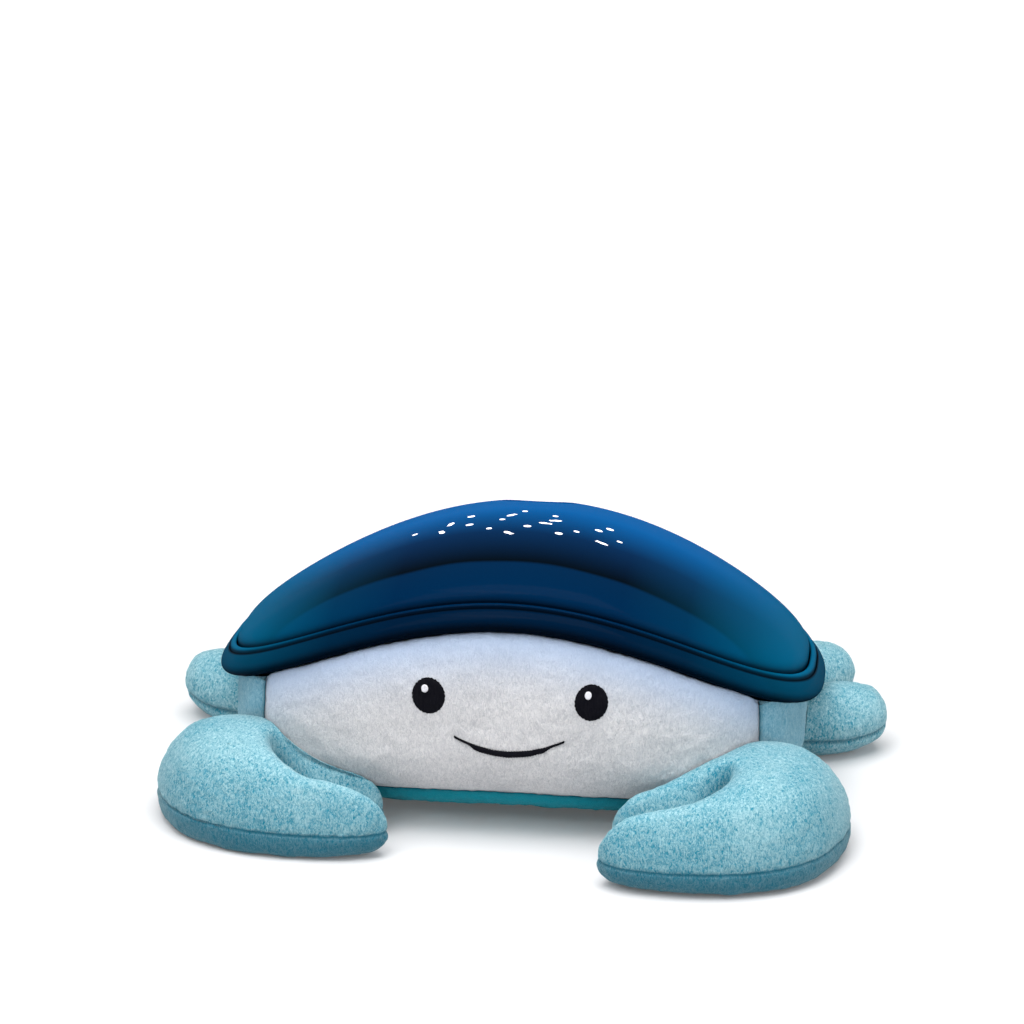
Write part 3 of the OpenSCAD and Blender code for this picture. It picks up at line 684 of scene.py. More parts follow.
@dataclass(frozen=True)
class Plastic:
    """Moulded plastic with a fine spark grain."""

    name: str
    colour: Colour
    rough: float = 0.5
    grain: float = 0.3

    def material(self) -> Material:
        """Makes the finish: slow noise shades the colour and the gloss, fine noise grains the surface.

        Returns:
            The material.
        """
        tree = Tree(self.name)
        shade = tree.grain(60.0, 3.0)
        dark = tuple(0.88 * c for c in self.colour)
        tree.set(Base_Color=tree.ramp(shade, [(0.35, dark), (0.65, self.colour)]))
        tree.bump(tree.grain(1800.0), 0.0001, self.grain)
        tree.dull(shade, self.rough - 0.06, self.rough + 0.08)
        return tree.material


@dataclass(frozen=True)
class Metal:
    """Bare metal with fine drawn lines."""

    name: str
    colour: Colour
    rough: float = 0.3

    def material(self) -> Material:
        """Makes the finish: noise stretched along the height draws the lines.

        Returns:
            The material.
        """
        tree = Tree(self.name)
        lines = tree.grain(1.0, space=tree.stretched(900.0, 900.0, 60.0))
        dark = tuple(0.75 * c for c in self.colour)
        tree.set(Base_Color=tree.ramp(lines, [(0.3, dark), (0.7, self.colour)]), Metallic=1.0, Roughness=self.rough)
        tree.bump(lines, 0.0001, 0.2)
        return tree.material


@dataclass(frozen=True)
class Clear:
    """Clear plastic with a breath of colour."""

    name: str
    colour: Colour

    def material(self) -> Material:
        """Makes the finish: see-through, with slow noise in its gloss.

        Returns:
            The material.
        """
        tree = Tree(self.name)
        tree.dull(tree.grain(120.0), 0.05, 0.2)
        tree.set(Base_Color=self.colour, Transmission_Weight=0.9, IOR=1.49)
        return tree.material


@dataclass(frozen=True)
class Thread:
    """Satin stitch in shiny thread."""

    name: str
    colour: Colour

    def material(self) -> Material:
        """Makes the finish: thin upright lines of thread with noise in their lustre.

        Returns:
            The material.
        """
        tree = Tree(self.name)
        lines = tree.grain(1500.0, space=tree.stretched(1.0, 0.25, 0.25))
        pale = tuple(c + 0.003 for c in self.colour)
        tree.set(Base_Color=tree.ramp(lines, [(0.35, self.colour), (0.75, pale)]))
        tree.set(Roughness=0.6, Specular_IOR_Level=0.05)
        tree.bump(lines, 0.0004, 0.6)
        return tree.material


@dataclass(frozen=True)
class Glow:
    """Clear window lit from below."""

    name: str
    colour: Colour
    strength: float

    def material(self) -> Material:
        """Makes the finish: a light of its own with slow noise in its tint.

        Returns:
            The material.
        """
        tree = Tree(self.name)
        cool = tuple(0.9 * c for c in self.colour[:2]) + self.colour[2:]
        tint = tree.ramp(tree.grain(90.0), [(0.4, cool), (0.6, self.colour)])
        tree.set(Base_Color=tint, Emission_Color=tint, Emission_Strength=self.strength)
        return tree.material


# Each fleece: tip, root, the colour of its painted shade, the colour of its painted light from the shell's glow.
TEAL = Fleece("teal_fleece", linear(172, 211, 218), linear(22, 134, 160), linear(4, 86, 108), linear(146, 202, 230))
GREY = Fleece("grey_fleece", linear(228, 227, 228), linear(192, 193, 197), linear(116, 130, 146), linear(176, 202, 238))
DEEP = Fleece("deep_teal_fleece", linear(22, 160, 174), linear(4, 118, 134), linear(2, 74, 88), linear(20, 150, 170))
# The shell's colours carry painted reflection, painted glow and painted shade.
SHELL = TintedShell(
    "tinted_shell", linear(0, 34, 66), linear(0, 8, 18), linear(0, 37, 74), linear(2, 87, 152), linear(0, 91, 127),
    linear(0, 6, 16),
)
BLACK = Thread("black_thread", linear(6, 6, 14))
WHITE = Thread("white_thread", linear(228, 228, 234))
WINDOW = Glow("lit_window", (1.0, 1.0, 1.0), 1.0)
RIGID: dict[str, Any] = {
    "shell_plastic": SHELL,
    "clear_plastic": Clear("clear_plastic", linear(205, 228, 240)),
    "housing_plastic": Plastic("white_housing", linear(232, 233, 234)),
    "white_button": Plastic("white_button", linear(240, 240, 240), 0.35, 0.1),
    "teal_button": Plastic("teal_button", linear(120, 200, 210), 0.35, 0.1),
    "circuit_board": Plastic("green_board", linear(20, 96, 58), 0.4),
    "white_board": Plastic("white_board", linear(236, 236, 232), 0.45),
    "foot_rubber": Plastic("foot_rubber", linear(48, 49, 52), 0.85, 0.6),
    "steel": Metal("plated_steel", linear(200, 202, 206)),
    "cell_jacket": Plastic("cell_jacket", linear(44, 50, 58), 0.3, 0.1),
    "speaker_frame": Plastic("speaker_frame", linear(52, 53, 56), 0.45),
    "cone_paper": Plastic("cone_paper", linear(28, 28, 30), 0.9, 0.8),
    "led_lens": Clear("lamp_lens", linear(252, 240, 200)),
    "reflector": Metal("reflector", linear(235, 236, 238), 0.08),
    "gear_plastic": Plastic("gear_plastic", linear(238, 238, 232), 0.4),
}


# Forms that the soft pieces and the shell share


@dataclass(frozen=True)
class ShellForm:
    """Dome with a rolled rim, a superellipse in plan, bent down to both sides and tilted to the back."""

    half_w: float = 121.0
    half_d: float = 86.0
    square: float = 2.8
    rim_z: float = 81.0
    rim_h: float = 11.0
    rim_roll: float = 7.0
    rim_set: float = 2.5
    dome_h: float = 18.5
    dome_power: float = 0.38
    end_drop: float = 38.5
    bend_ease: float = 0.32
    tilt: float = 9.0
    wall: float = 2.4

    def plan(self, t: Array, a: float, b: float) -> Array:
        """Superellipse radius at an angle: (|cos/a|^n + |sin/b|^n)^(-1/n)."""
        n = self.square
        return (np.abs(np.cos(t) / a) ** n + np.abs(np.sin(t) / b) ** n) ** (-1 / n)

    def edge_r(self, t: Array) -> Array:
        """Radius of the lower edge at an angle."""
        return self.plan(t, self.half_w, self.half_d)

    def dome_r(self, t: Array) -> Array:
        """Radius of the dome's edge at an angle."""
        return self.plan(t, self.half_w, self.half_d - self.rim_set)

    def level(self, x: Array, y: Array) -> Array:
        """Height of the lower edge: the rim's height less the ends' drop, which eases outwards, and the tilt."""
        s = (x / self.half_w) ** 2
        return self.rim_z - self.end_drop * s * (1 + self.bend_ease * (1 - s)) - math.tan(math.radians(self.tilt)) * y

    def rise(self, q: Array) -> Array:
        """Rise of the dome over its edge at a share q of its radius: the height times 1 - q^2 to a power."""
        return self.dome_h * np.maximum(0.0, 1 - q * q) ** self.dome_power

    def rim(self, t: Array, a: Array) -> tuple[Array, Array]:
        """Radius and height above the lower edge of the rim's half round, at angle t and at angle a round its bow."""
        k = (1 - np.sin(a)) / 2
        return mix(self.dome_r(t), self.edge_r(t), k) + self.rim_roll * np.cos(a), self.rim_h * (1 - k)

    def lift(self, t: Array, r: Array, up: Array) -> Array:
        """Points at angle t and radius r, raised above the height of the lower edge."""
        x, y = r * np.cos(t), r * np.sin(t)
        return np.stack([x, y, self.level(x, y) + up], -1)

    def dome_z(self, x: Array, y: Array) -> Array:
        """Height of the dome's outside over a place in plan, by the share q of the dome's radius there.

        Args:
            x: places across.
            y: places in depth.

        Returns:
            One height for each place.
        """
        t = np.arctan2(y, x)
        q = np.hypot(x, y) / self.dome_r(t)
        return self.level(x, y) + self.rim_h + self.rise(q)


@dataclass(frozen=True)
class BodyForm:
    """Stuffed body from a hem round the tub over its fullest line to a neck under the shell."""

    shell: ShellForm = ShellForm()
    half_w: float = 120.0
    half_d: float = 92.5
    bulge_share: float = 0.4535
    hem_z: float = 3.2
    hem_l: float = 86.0
    hem_d: float = 43.0
    fold_in: float = 5.1
    fold_up: float = 1.0
    fold_psi: float = 10.0
    neck_under: float = 0.6

    def hem_r(self, t: Array) -> Array:
        """Radius of the hem, an oblong with round ends.

        Args:
            t: angles in radians.

        Returns:
            One radius for each angle.
        """
        c, s = np.abs(np.cos(t)), np.abs(np.sin(t))
        k, d = self.hem_l - self.hem_d, self.hem_d
        straight = d / np.maximum(s, 1e-9)
        bent = k * c + np.sqrt(np.maximum(d * d - k * k * s * s, 0.0))
        return np.where(k * s >= d * c, straight, bent)

    def bulge_r(self, t: Array) -> Array:
        """Radius of the fullest line."""
        return self.shell.plan(t, self.half_w, self.half_d)

    def neck_r(self, t: Array) -> Array:
        """Radius of the neck."""
        return self.shell.edge_r(t) + 1.0

    def neck_z(self, t: Array) -> Array:
        """Height of the neck."""
        r = self.neck_r(t)
        return self.shell.level(r * np.cos(t), r * np.sin(t)) - self.neck_under

    def bulge_z(self, t: Array) -> Array:
        """Height of the fullest line."""
        return mix(self.hem_z, self.neck_z(t), self.bulge_share)

    def at(self, t: Array, psi: Array) -> Array:
        """Points of the body: quarter ellipses from the fullest line, psi 0, to the hem, -90, and the neck, 90.

        Below -90 the cloth goes in under the body to the tub, straight in and a little up.

        Args:
            t: angles round the lamp's axis in radians.
            psi: angles up from the fullest line in radians.

        Returns:
            The points.
        """
        fold = np.maximum(0.0, -90 - np.degrees(psi)) / self.fold_psi
        psi = np.maximum(psi, -math.pi / 2)
        end_r = np.where(psi < 0, self.hem_r(t), self.neck_r(t))
        end_z = np.where(psi < 0, self.hem_z, self.neck_z(t))
        r = mix(end_r, self.bulge_r(t), np.cos(psi)) - self.fold_in * fold
        z = mix(self.bulge_z(t), end_z, np.abs(np.sin(psi))) + self.fold_up * fold**2
        return np.stack([r * np.cos(t), r * np.sin(t), z], -1)

    def share(self, t: Array, z: Array) -> Array:
        """Share of the way from the fullest line, 0, down to the hem, -1, or up to the neck, 1."""
        mid = self.bulge_z(t)
        return np.where(z < mid, (z - mid) / (mid - self.hem_z), (z - mid) / (self.neck_z(t) - mid))

    def radius(self, t: Array, z: Array) -> Array:
        """Radius of the body, from the same quarter ellipses.

        Args:
            t: angles in radians.
            z: heights.

        Returns:
            One radius for each pair.
        """
        share = self.share(t, z)
        end_r = np.where(share < 0, self.hem_r(t), self.neck_r(t))
        return mix(end_r, self.bulge_r(t), np.sqrt(np.maximum(0.0, 1 - share * share)))

    def outside(self, points: Array, gap: float, low: float) -> Array:
        """Points pushed straight out until they clear the body.

        Args:
            points: the points.
            gap: clearance.
            low: height under which the body counts as wide as there.

        Returns:
            The points, moved where they were too near.
        """
        t = np.arctan2(points[..., 1], points[..., 0])
        r = np.hypot(points[..., 0], points[..., 1])
        need = self.radius(t, np.maximum(points[..., 2], low)) + gap
        moved = np.stack([need * np.cos(t), need * np.sin(t), points[..., 2]], -1)
        return np.where((r < need)[..., None], moved, points)


BODY_FORM = BodyForm()


# Sub-assemblies


@dataclass
class StuffedPanel:
    """One sewn panel of the body, swollen between its seams and closed behind.

    The tuck, the painted shade along its seams and the painted light from the shell's glow are given by their width and
    their height.
    """

    name: str
    node: str
    fleece: Fleece
    around: tuple[float, float]
    rise: tuple[float, float]
    sewn_low: bool = False
    sewn_high: bool = False
    coarse: tuple[int, int] = (26, 40)
    step: float = 1.1
    air: float = 2.0
    give: float = 2.0
    lumps: Layers = ((0.7, 24.0, 3), (0.35, 9.0, 5))
    flat: float = 8.0
    nap: Layers = ((0.28, 2.3, 7),)
    tuck: tuple[float, float] = (5.0, 2.6)
    # Width and height of the painted shade along the seams and of the painted light from the shell's glow.
    seam: tuple[float, float] = (1.4, 0.85)
    lit: tuple[float, float] = (16.0, 0.75)
    thick: float = 9.0
    blunt: float = 3.0
    fill: float = 0.8
    rest: Array = field(init=False)
    skin: Array = field(init=False)

    def plain(self, rows: int, cols: int) -> Array:
        """Grid of points of the plain body over the panel.

        Args:
            rows: rows up the body.
            cols: columns round the body.

        Returns:
            Rows of points.
        """
        t = np.radians(np.linspace(*self.around, cols))
        psi = np.radians(np.linspace(*self.rise, rows))
        return BODY_FORM.at(*np.meshgrid(t, psi))

    def edges(self, points: Array) -> Array:
        """Distance to the nearest sewn edge, along the rows and columns of a grid.

        Args:
            points: the grid.

        Returns:
            One distance for each point.
        """
        along, up = lengths(points, 1), lengths(points, 0)
        near = np.minimum(along, along[:, -1:] - along)
        if self.sewn_low:
            near = np.minimum(near, up)
        if self.sewn_high:
            near = np.minimum(near, up[-1:] - up)
        return near

    def shape(self) -> Surface:
        """Works the panel out: the body's surface, swollen as cloth, tucked in at its seams, lumpy and napped.

        Returns:
            The closed mesh.
        """
        few = self.plain(*self.coarse)
        pinned = np.ones(self.coarse, bool)
        pinned[1:-1, 1:-1] = False
        sheet = Surface(few.reshape(-1, 3), grid_faces(*self.coarse, False))
        moved = swell(sheet, pinned.ravel(), self.air, self.give).reshape(few.shape)
        size = [int(lengths(few, axis).max() / self.step) for axis in (0, 1)]
        places = [np.linspace(0, n - 1, many) for n, many in zip(self.coarse, size)]
        moved = refine(moved, *places, False)
        self.rest = self.plain(*size)
        near = self.edges(self.rest)
        rough = relief(self.rest, self.lumps) * smooth(near / self.flat) + relief(self.rest, self.nap)
        rough = rough - bell(near, *self.tuck)
        self.skin = self.rest + moved + normals(self.rest + moved, False) * rough[..., None]
        up = lengths(self.rest, 0)
        # painted shade along the seams, painted light from the shell's glow near the neck
        return self.closed(bell(near, *self.seam), bell(up[-1:] - up, *self.lit))

    def closed(self, seam: Array, lit: Array) -> Surface:
        """Joins the outer skin along its edges to a back that lies deepest in the middle.

        Args:
            seam: painted shade at each point of the skin, along its seams.
            lit: how much painted light from the shell's glow each point takes.

        Returns:
            The closed mesh.
        """
        rows, cols = self.skin.shape[:2]
        u, v = np.meshgrid(np.sin(np.linspace(0, math.pi, cols)), np.sin(np.linspace(0, math.pi, rows)))
        deep = self.thick * np.minimum(1.0, self.blunt * u * v)
        back = self.skin - normals(self.rest, False) * deep[..., None]
        behind = np.arange(rows * cols).reshape(rows, cols)
        behind[1:-1, 1:-1] = rows * cols + np.arange((rows - 2) * (cols - 2)).reshape(rows - 2, cols - 2)
        front = grid_faces(rows, cols, False)
        points = np.concatenate([self.skin.reshape(-1, 3), back[1:-1, 1:-1].reshape(-1, 3)])
        faces = np.concatenate([front, behind.ravel()[front][:, ::-1]])
        hidden = np.zeros((rows - 2) * (cols - 2))
        seams, lights = (np.concatenate([values.ravel(), hidden]) for values in (seam, lit))
        return Surface(points, faces, seam=seams, lit=lights).faced()

    def on_skin(self, x: Array, z: Array) -> tuple[Array, Array]:
        """Points of the finished skin that were over the given places of the plain body, seen from the front.

        Args:
            x: places across.
            z: places up.

        Returns:
            The points of the skin and its normals there.
        """
        y = np.full_like(x, -BODY_FORM.half_d)
        for _ in range(SETTLE_ROUNDS):
            r = BODY_FORM.radius(np.arctan2(y, x), z)
            y = -np.sqrt(r * r - x * x)
        t = np.arctan2(y, x)
        psi = np.degrees(np.arcsin(np.clip(BODY_FORM.share(t, z), -1, 1)))
        rows, cols = self.skin.shape[:2]
        i = (psi - self.rise[0]) / (self.rise[1] - self.rise[0]) * (rows - 1)
        j = (np.degrees(t) - self.around[0]) / (self.around[1] - self.around[0]) * (cols - 1)
        out = normals(self.rest, False)
        i0, j0 = np.floor(i).astype(int), np.floor(j).astype(int)
        fi, fj = (i - i0)[..., None], (j - j0)[..., None]
        found = [
            mix(mix(g[i0, j0], g[i0, j0 + 1], fj), mix(g[i0 + 1, j0], g[i0 + 1, j0 + 1], fj), fi)
            for g in (self.skin, out)
        ]
        facing = unit(found[1])
        return found[0], facing * np.where(facing[..., 1:2] > 0, -1.0, 1.0)

    def dress(self, material: Material) -> Thing:
        """Builds the panel of a fleece in place of its solid."""
        return stand_in(self.shape(), self.name, self.node, BODY, material)


@dataclass
class Limb:
    """Soft limb sewn to the body, worked out as a right one and mirrored for the left side."""

    side: Side

    @property
    def node(self) -> str:
        """The limb's name among the solids and the bodies."""
        raise NotImplementedError

    def shape(self) -> Surface:
        """Works out the closed mesh of a right limb."""
        raise NotImplementedError

    def swollen(self, coarse: Array, held: Array, air: float, give: float, rows: Array) -> Array:
        """How far air moves the limb's cloth, cut as coarse rings and held in places, at rows of finer rings."""
        moved = swell(tube(coarse), held, air, give)[:-2].reshape(coarse.shape)
        return refine(moved, rows, np.arange(FINER * coarse.shape[1]) / FINER, True)

    def outward(self, skin: Array) -> Array:
        """Normals of closed rings, all turned so that those of one ring look away from its middle."""
        out, row = normals(skin, True), len(skin) // 3
        return out * np.sign(np.sum(out[row] * (skin[row] - skin[row].mean(0))))

    def roughened(self, skin: Array, out: Array, layers: Layers, dip: Array) -> Array:
        """Skin with lumps, nap and the dip of its seam, kept above the ground.

        Args:
            skin: rows of points.
            out: their normals.
            layers: noise of lumps and nap.
            dip: depth of the seam at each point.

        Returns:
            The moved points.
        """
        skin = skin + out * (relief(skin, layers) - dip)[..., None]
        skin[..., 2] = np.maximum(skin[..., 2], GROUND)
        return skin

    def dress(self, material: Material) -> Thing:
        """Builds the limb of a fleece in place of its solid."""
        surface = self.shape() if self.side is Side.RIGHT else self.shape().mirrored()
        return stand_in(surface, f"stuffed_{self.node}", self.node, self.node, material)


@dataclass
class Claw(Limb):
    """Pincer of finger and thumb, sewn round its edge, puffed above the seam and flat below it.

    The crease, the gathers and the painted shade along its seam are given by their width and their height.
    """

    pull: float
    middle_x: float
    front: float = 130.0
    back: float = 40.0
    long: float = 104.0
    seam_z: float = 11.5
    height: float = 44.5
    full: float = 28.0
    bow: float = 0.68
    fall: float = 0.4
    fall_from: float = 18.0
    fall_over: float = 45.0
    crease: tuple[float, float] = (1.2, 0.55)
    gather: tuple[float, float] = (3.5, 0.45)
    # Painted shade: along the seam, below it, on steep flanks and at the underside's middle.
    stitch: tuple[float, float] = (0.9, 0.95)
    under_painted_shade: float = 0.78
    steep_painted_shade: float = 0.28
    end_painted_shade: float = 0.31
    air: float = 2.0
    give: float = 1.5
    held: float = 3.0
    span: int = 3
    rows: int = 130
    edge_steps: int = 48
    fold_steps: int = 60
    layers: Layers = ((0.5, 20.0, 13), (0.3, 8.0, 15), (0.26, 2.2, 17))
    above: tuple[float, ...] = (
        0.94, 0.84, 0.73, 0.62, 0.51, 0.41, 0.32, 0.24, 0.17, 0.115, 0.075, 0.045, 0.022, 0.008, 0.0,
    )
    below: tuple[float, ...] = (0.003, 0.012, 0.03, 0.055, 0.09, 0.14, 0.22, 0.34, 0.52, 0.74, 0.94)
    plan: tuple[tuple[float, float], ...] = (
        (-34, 70), (-48, 52), (-60, 44), (-67, 36), (-62, 29), (-50, 29), (-37, 30), (-48, 25), (-62, 20),
        (-71, 12), (-64, 4), (-49, 0.5), (-30, 0), (-11, 3), (7, 11), (20, 23), (28, 39), (31, 56), (28, 73),
        (19, 89), (4, 101), (-14, 104), (-28, 90),
    )
    fold: tuple[tuple[float, float], ...] = ((-37, 30), (-31, 34), (-25, 39), (-20, 45))

    @property
    def node(self) -> str:
        """The claw's name among the solids and the bodies."""
        return f"claw_{self.side.word}"

    def drawn(self, points: Array) -> Array:
        """Draws places in plan back towards the root, most at the front, and moves them about the claw's middle."""
        deep = self.pull + points[..., 1] * (1 - self.pull / self.long)
        return np.stack([points[..., 0], deep - self.back], -1)

    def outline(self, steps: int) -> Array:
        """Outline of the claw about its middle, with a number of points on each span."""
        return self.drawn(spline(np.array(self.plan, float), steps))

    def depth(self, flat: Array) -> Array:
        """Soft distance to the outline: the sum over its pieces of length / distance^4, to the power of -1/3.

        A fold runs on from between finger and thumb into the palm and counts less and less along its way.

        Args:
            flat: rows of places in plan about the claw's middle.

        Returns:
            The distance at each place.
        """
        edge = self.outline(self.edge_steps)
        length = np.linalg.norm(np.roll(edge, -1, axis=0) - edge, axis=1)
        along = np.linspace(0, len(self.fold) - 1, self.fold_steps)
        line = self.drawn(resample(np.array(self.fold, float)[:, None], along, False)[:, 0])
        fade = np.linalg.norm(np.gradient(line, axis=0), axis=1) * (1 - along / along[-1]) ** 2
        edge, length = np.concatenate([edge, line]), np.concatenate([length, fade])

        def near(part: Array) -> Array:
            """Soft distance of a few rows."""
            gap = np.sum((part[..., None, :] - edge) ** 2, axis=-1)
            return (np.sum(length / np.maximum(gap, 1e-3) ** 2, axis=-1) * 2 / math.pi) ** (-1 / 3)

        return np.concatenate([near(part) for part in np.array_split(flat, max(1, len(flat) // 8))])

    def rings(self, steps: int, shares: Array) -> Array:
        """Rings from the crest over the seam to the middle of the underside.

        A ring at share s of the way out is the outline scaled by s. Above the seam, cloth rises with the distance to
        the outline in a round bow, so that finger and thumb stay apart, and less towards the root. Below, it
        falls by sqrt(1 - s^12).

        Args:
            steps: points on each span of the outline.
            shares: from -1 at the crest over 0 at the seam to 1 at the middle of the underside.

        Returns:
            Rows of points.
        """
        s = (1 - np.abs(shares))[:, None]
        flat = s[..., None] * self.outline(steps)[None]
        x = self.depth(flat) / self.full
        x = x / (1 + x**5) ** 0.2
        root = smooth((flat[..., 1] - self.fall_from) / self.fall_over)
        crown = (self.height - self.seam_z) * (1 - (1 - x) ** 2) ** self.bow * (1 - self.fall * root)
        belly = (self.seam_z - GROUND) * np.sqrt(np.maximum(0, 1 - s**12))
        z = self.seam_z + np.where(shares[:, None] < 0, crown, -belly)
        points = np.stack([self.middle_x + flat[..., 0], self.back - self.front + flat[..., 1], z], -1)
        return BODY_FORM.outside(points, LIMB_GAP, LIMB_LOW)

    def shape(self) -> Surface:
        """Works the claw out: its rings, swollen as cloth between the seam and the root, tucked at the seam.

        Returns:
            The closed mesh of the claw, as a right one.
        """
        shares = np.concatenate([-np.array(self.above), self.below])
        coarse = self.rings(self.span, shares)
        x, y, z = np.moveaxis(coarse, -1, 0)
        touch = np.hypot(x, y) < BODY_FORM.radius(np.arctan2(y, x), z) + LIMB_GAP + self.held
        held = np.concatenate([(touch | (shares >= 0)[:, None]).ravel(), [False, True]])
        fine = np.linspace(0, len(shares) - 1, self.rows)
        moved = self.swollen(coarse, held, self.air, self.give, fine)
        shares = np.interp(fine, np.arange(len(shares)), shares)
        return self.finish(self.rings(FINER * self.span, shares) + moved, shares)

    def finish(self, skin: Array, shares: Array) -> Surface:
        """Adds the seam's tuck and puckers, lumps and nap, and closes the ends.

        Painted shade darkens the cloth at the seam, on steep flanks that face away from the light above, below the seam
        and at the underside's middle.

        Args:
            skin: rows of points.
            shares: place of each row, 0 where the claw is widest.

        Returns:
            The closed mesh.
        """
        lie = lengths(skin, 0)
        below = lie - lie[np.argmin(np.abs(shares))]
        near = np.abs(below)
        pucker = 1 + 0.4 * np.sin(lengths(skin, 1) * 0.75 + 2.0 * noise(skin, 12.0, 2))
        dip = bell(near, *self.crease) + pucker * bell(near, *self.gather)
        out = self.outward(skin)
        # painted shade under the claw, fading towards the underside's middle
        under = self.under_painted_shade * smooth(below / 1.5) * (1 - 0.6 * smooth((below - 12.0) / 12.0))
        # painted shade on steep flanks, where less light falls from above
        steep_shade = self.steep_painted_shade * smooth((0.85 - out[..., 2]) / 0.6)
        seam = np.maximum(np.maximum(bell(near, *self.stitch), steep_shade), under)
        return tube(self.roughened(skin, out, self.layers, dip), seam, (0.0, self.end_painted_shade))


@dataclass
class Leg(Limb):
    """Stuffed leg, a round swelling tube with a blunt end and a seam along both flanks.

    The crease and the painted shade along its seams are given by their width and their height.
    """

    pair: Pair
    seat: float
    direction: float
    length: float
    radius: float = 15.5
    air: float = 3.0
    give: float = 1.2
    held: float = 0.12
    cols: int = 32
    rows: int = 72
    layers: Layers = ((0.4, 15.0, 23), (0.3, 7.0, 25), (0.26, 2.2, 27))
    seams: tuple[float, float] = (340.0, 200.0)
    crease: tuple[float, float] = (1.8, 1.2)
    stitch: tuple[float, float] = (1.2, 0.7)
    slim: float = 0.85
    inside: float = 0.3
    shaft: float = 0.55

    @property
    def node(self) -> str:
        """The leg's name among the solids and the bodies."""
        return f"leg_{self.pair.value}_{self.side.word}"

    def rings(self, cols: int, along: Array) -> Array:
        """Rings along the leg: radius r times (1 - u^4)^(1/2.4) past the body, a little slimmer at the root.

        Args:
            cols: points to a ring.
            along: places as shares of the length, 0 at the body and 1 at the tip.

        Returns:
            Rows of points.
        """
        seat, way = math.radians(self.seat), math.radians(self.direction)
        z = self.radius + GROUND
        r = float(BODY_FORM.radius(np.array(seat), np.array(z)))
        root = np.array([r * math.cos(seat), r * math.sin(seat), z])
        ahead = np.array([math.cos(way), math.sin(way), 0.0])
        aside = np.array([math.sin(way), -math.cos(way), 0.0])
        full = np.maximum(0, 1 - np.maximum(along, 0) ** 4) ** (1 / 2.4)
        slim = mix(self.slim, 1.0, smooth((along + self.inside) / 0.7))
        a = turns(cols)
        hoop = np.cos(a)[:, None] * aside + np.sin(a)[:, None] * np.array([0.0, 0.0, 1.0])
        points = root + along[:, None, None] * self.length * ahead + (self.radius * full * slim)[:, None, None] * hoop
        points[..., 2] = np.maximum(points[..., 2], GROUND)
        return BODY_FORM.outside(points, LIMB_GAP, LIMB_LOW)

    def shape(self) -> Surface:
        """Works the leg out: its rings, swollen as cloth past the root, with seams, lumps and nap.

        Returns:
            The closed mesh of the leg, as a right one.
        """
        tip = self.shaft + 0.445 * np.sin(np.linspace(0, 1.57, 12))[1:]
        along = np.concatenate([np.linspace(-self.inside, self.shaft, 12), tip])
        coarse = self.rings(self.cols, along)
        held = np.concatenate([np.repeat(along < self.held, self.cols), [True, False]])
        fine = np.linspace(0, len(along) - 1, self.rows)
        moved = self.swollen(coarse, held, self.air, self.give, fine)
        cols = FINER * self.cols
        skin = self.rings(cols, np.interp(fine, np.arange(len(along)), along)) + moved
        a = turns(cols)
        turned = np.minimum(*(np.abs(a - math.radians(seam)) for seam in self.seams)) * self.radius
        near = np.broadcast_to(turned, skin.shape[:2])
        out = self.outward(skin)
        skin = self.roughened(skin, out, self.layers, bell(near, *self.crease))
        # painted shade along both seams
        return tube(skin, bell(near, *self.stitch))


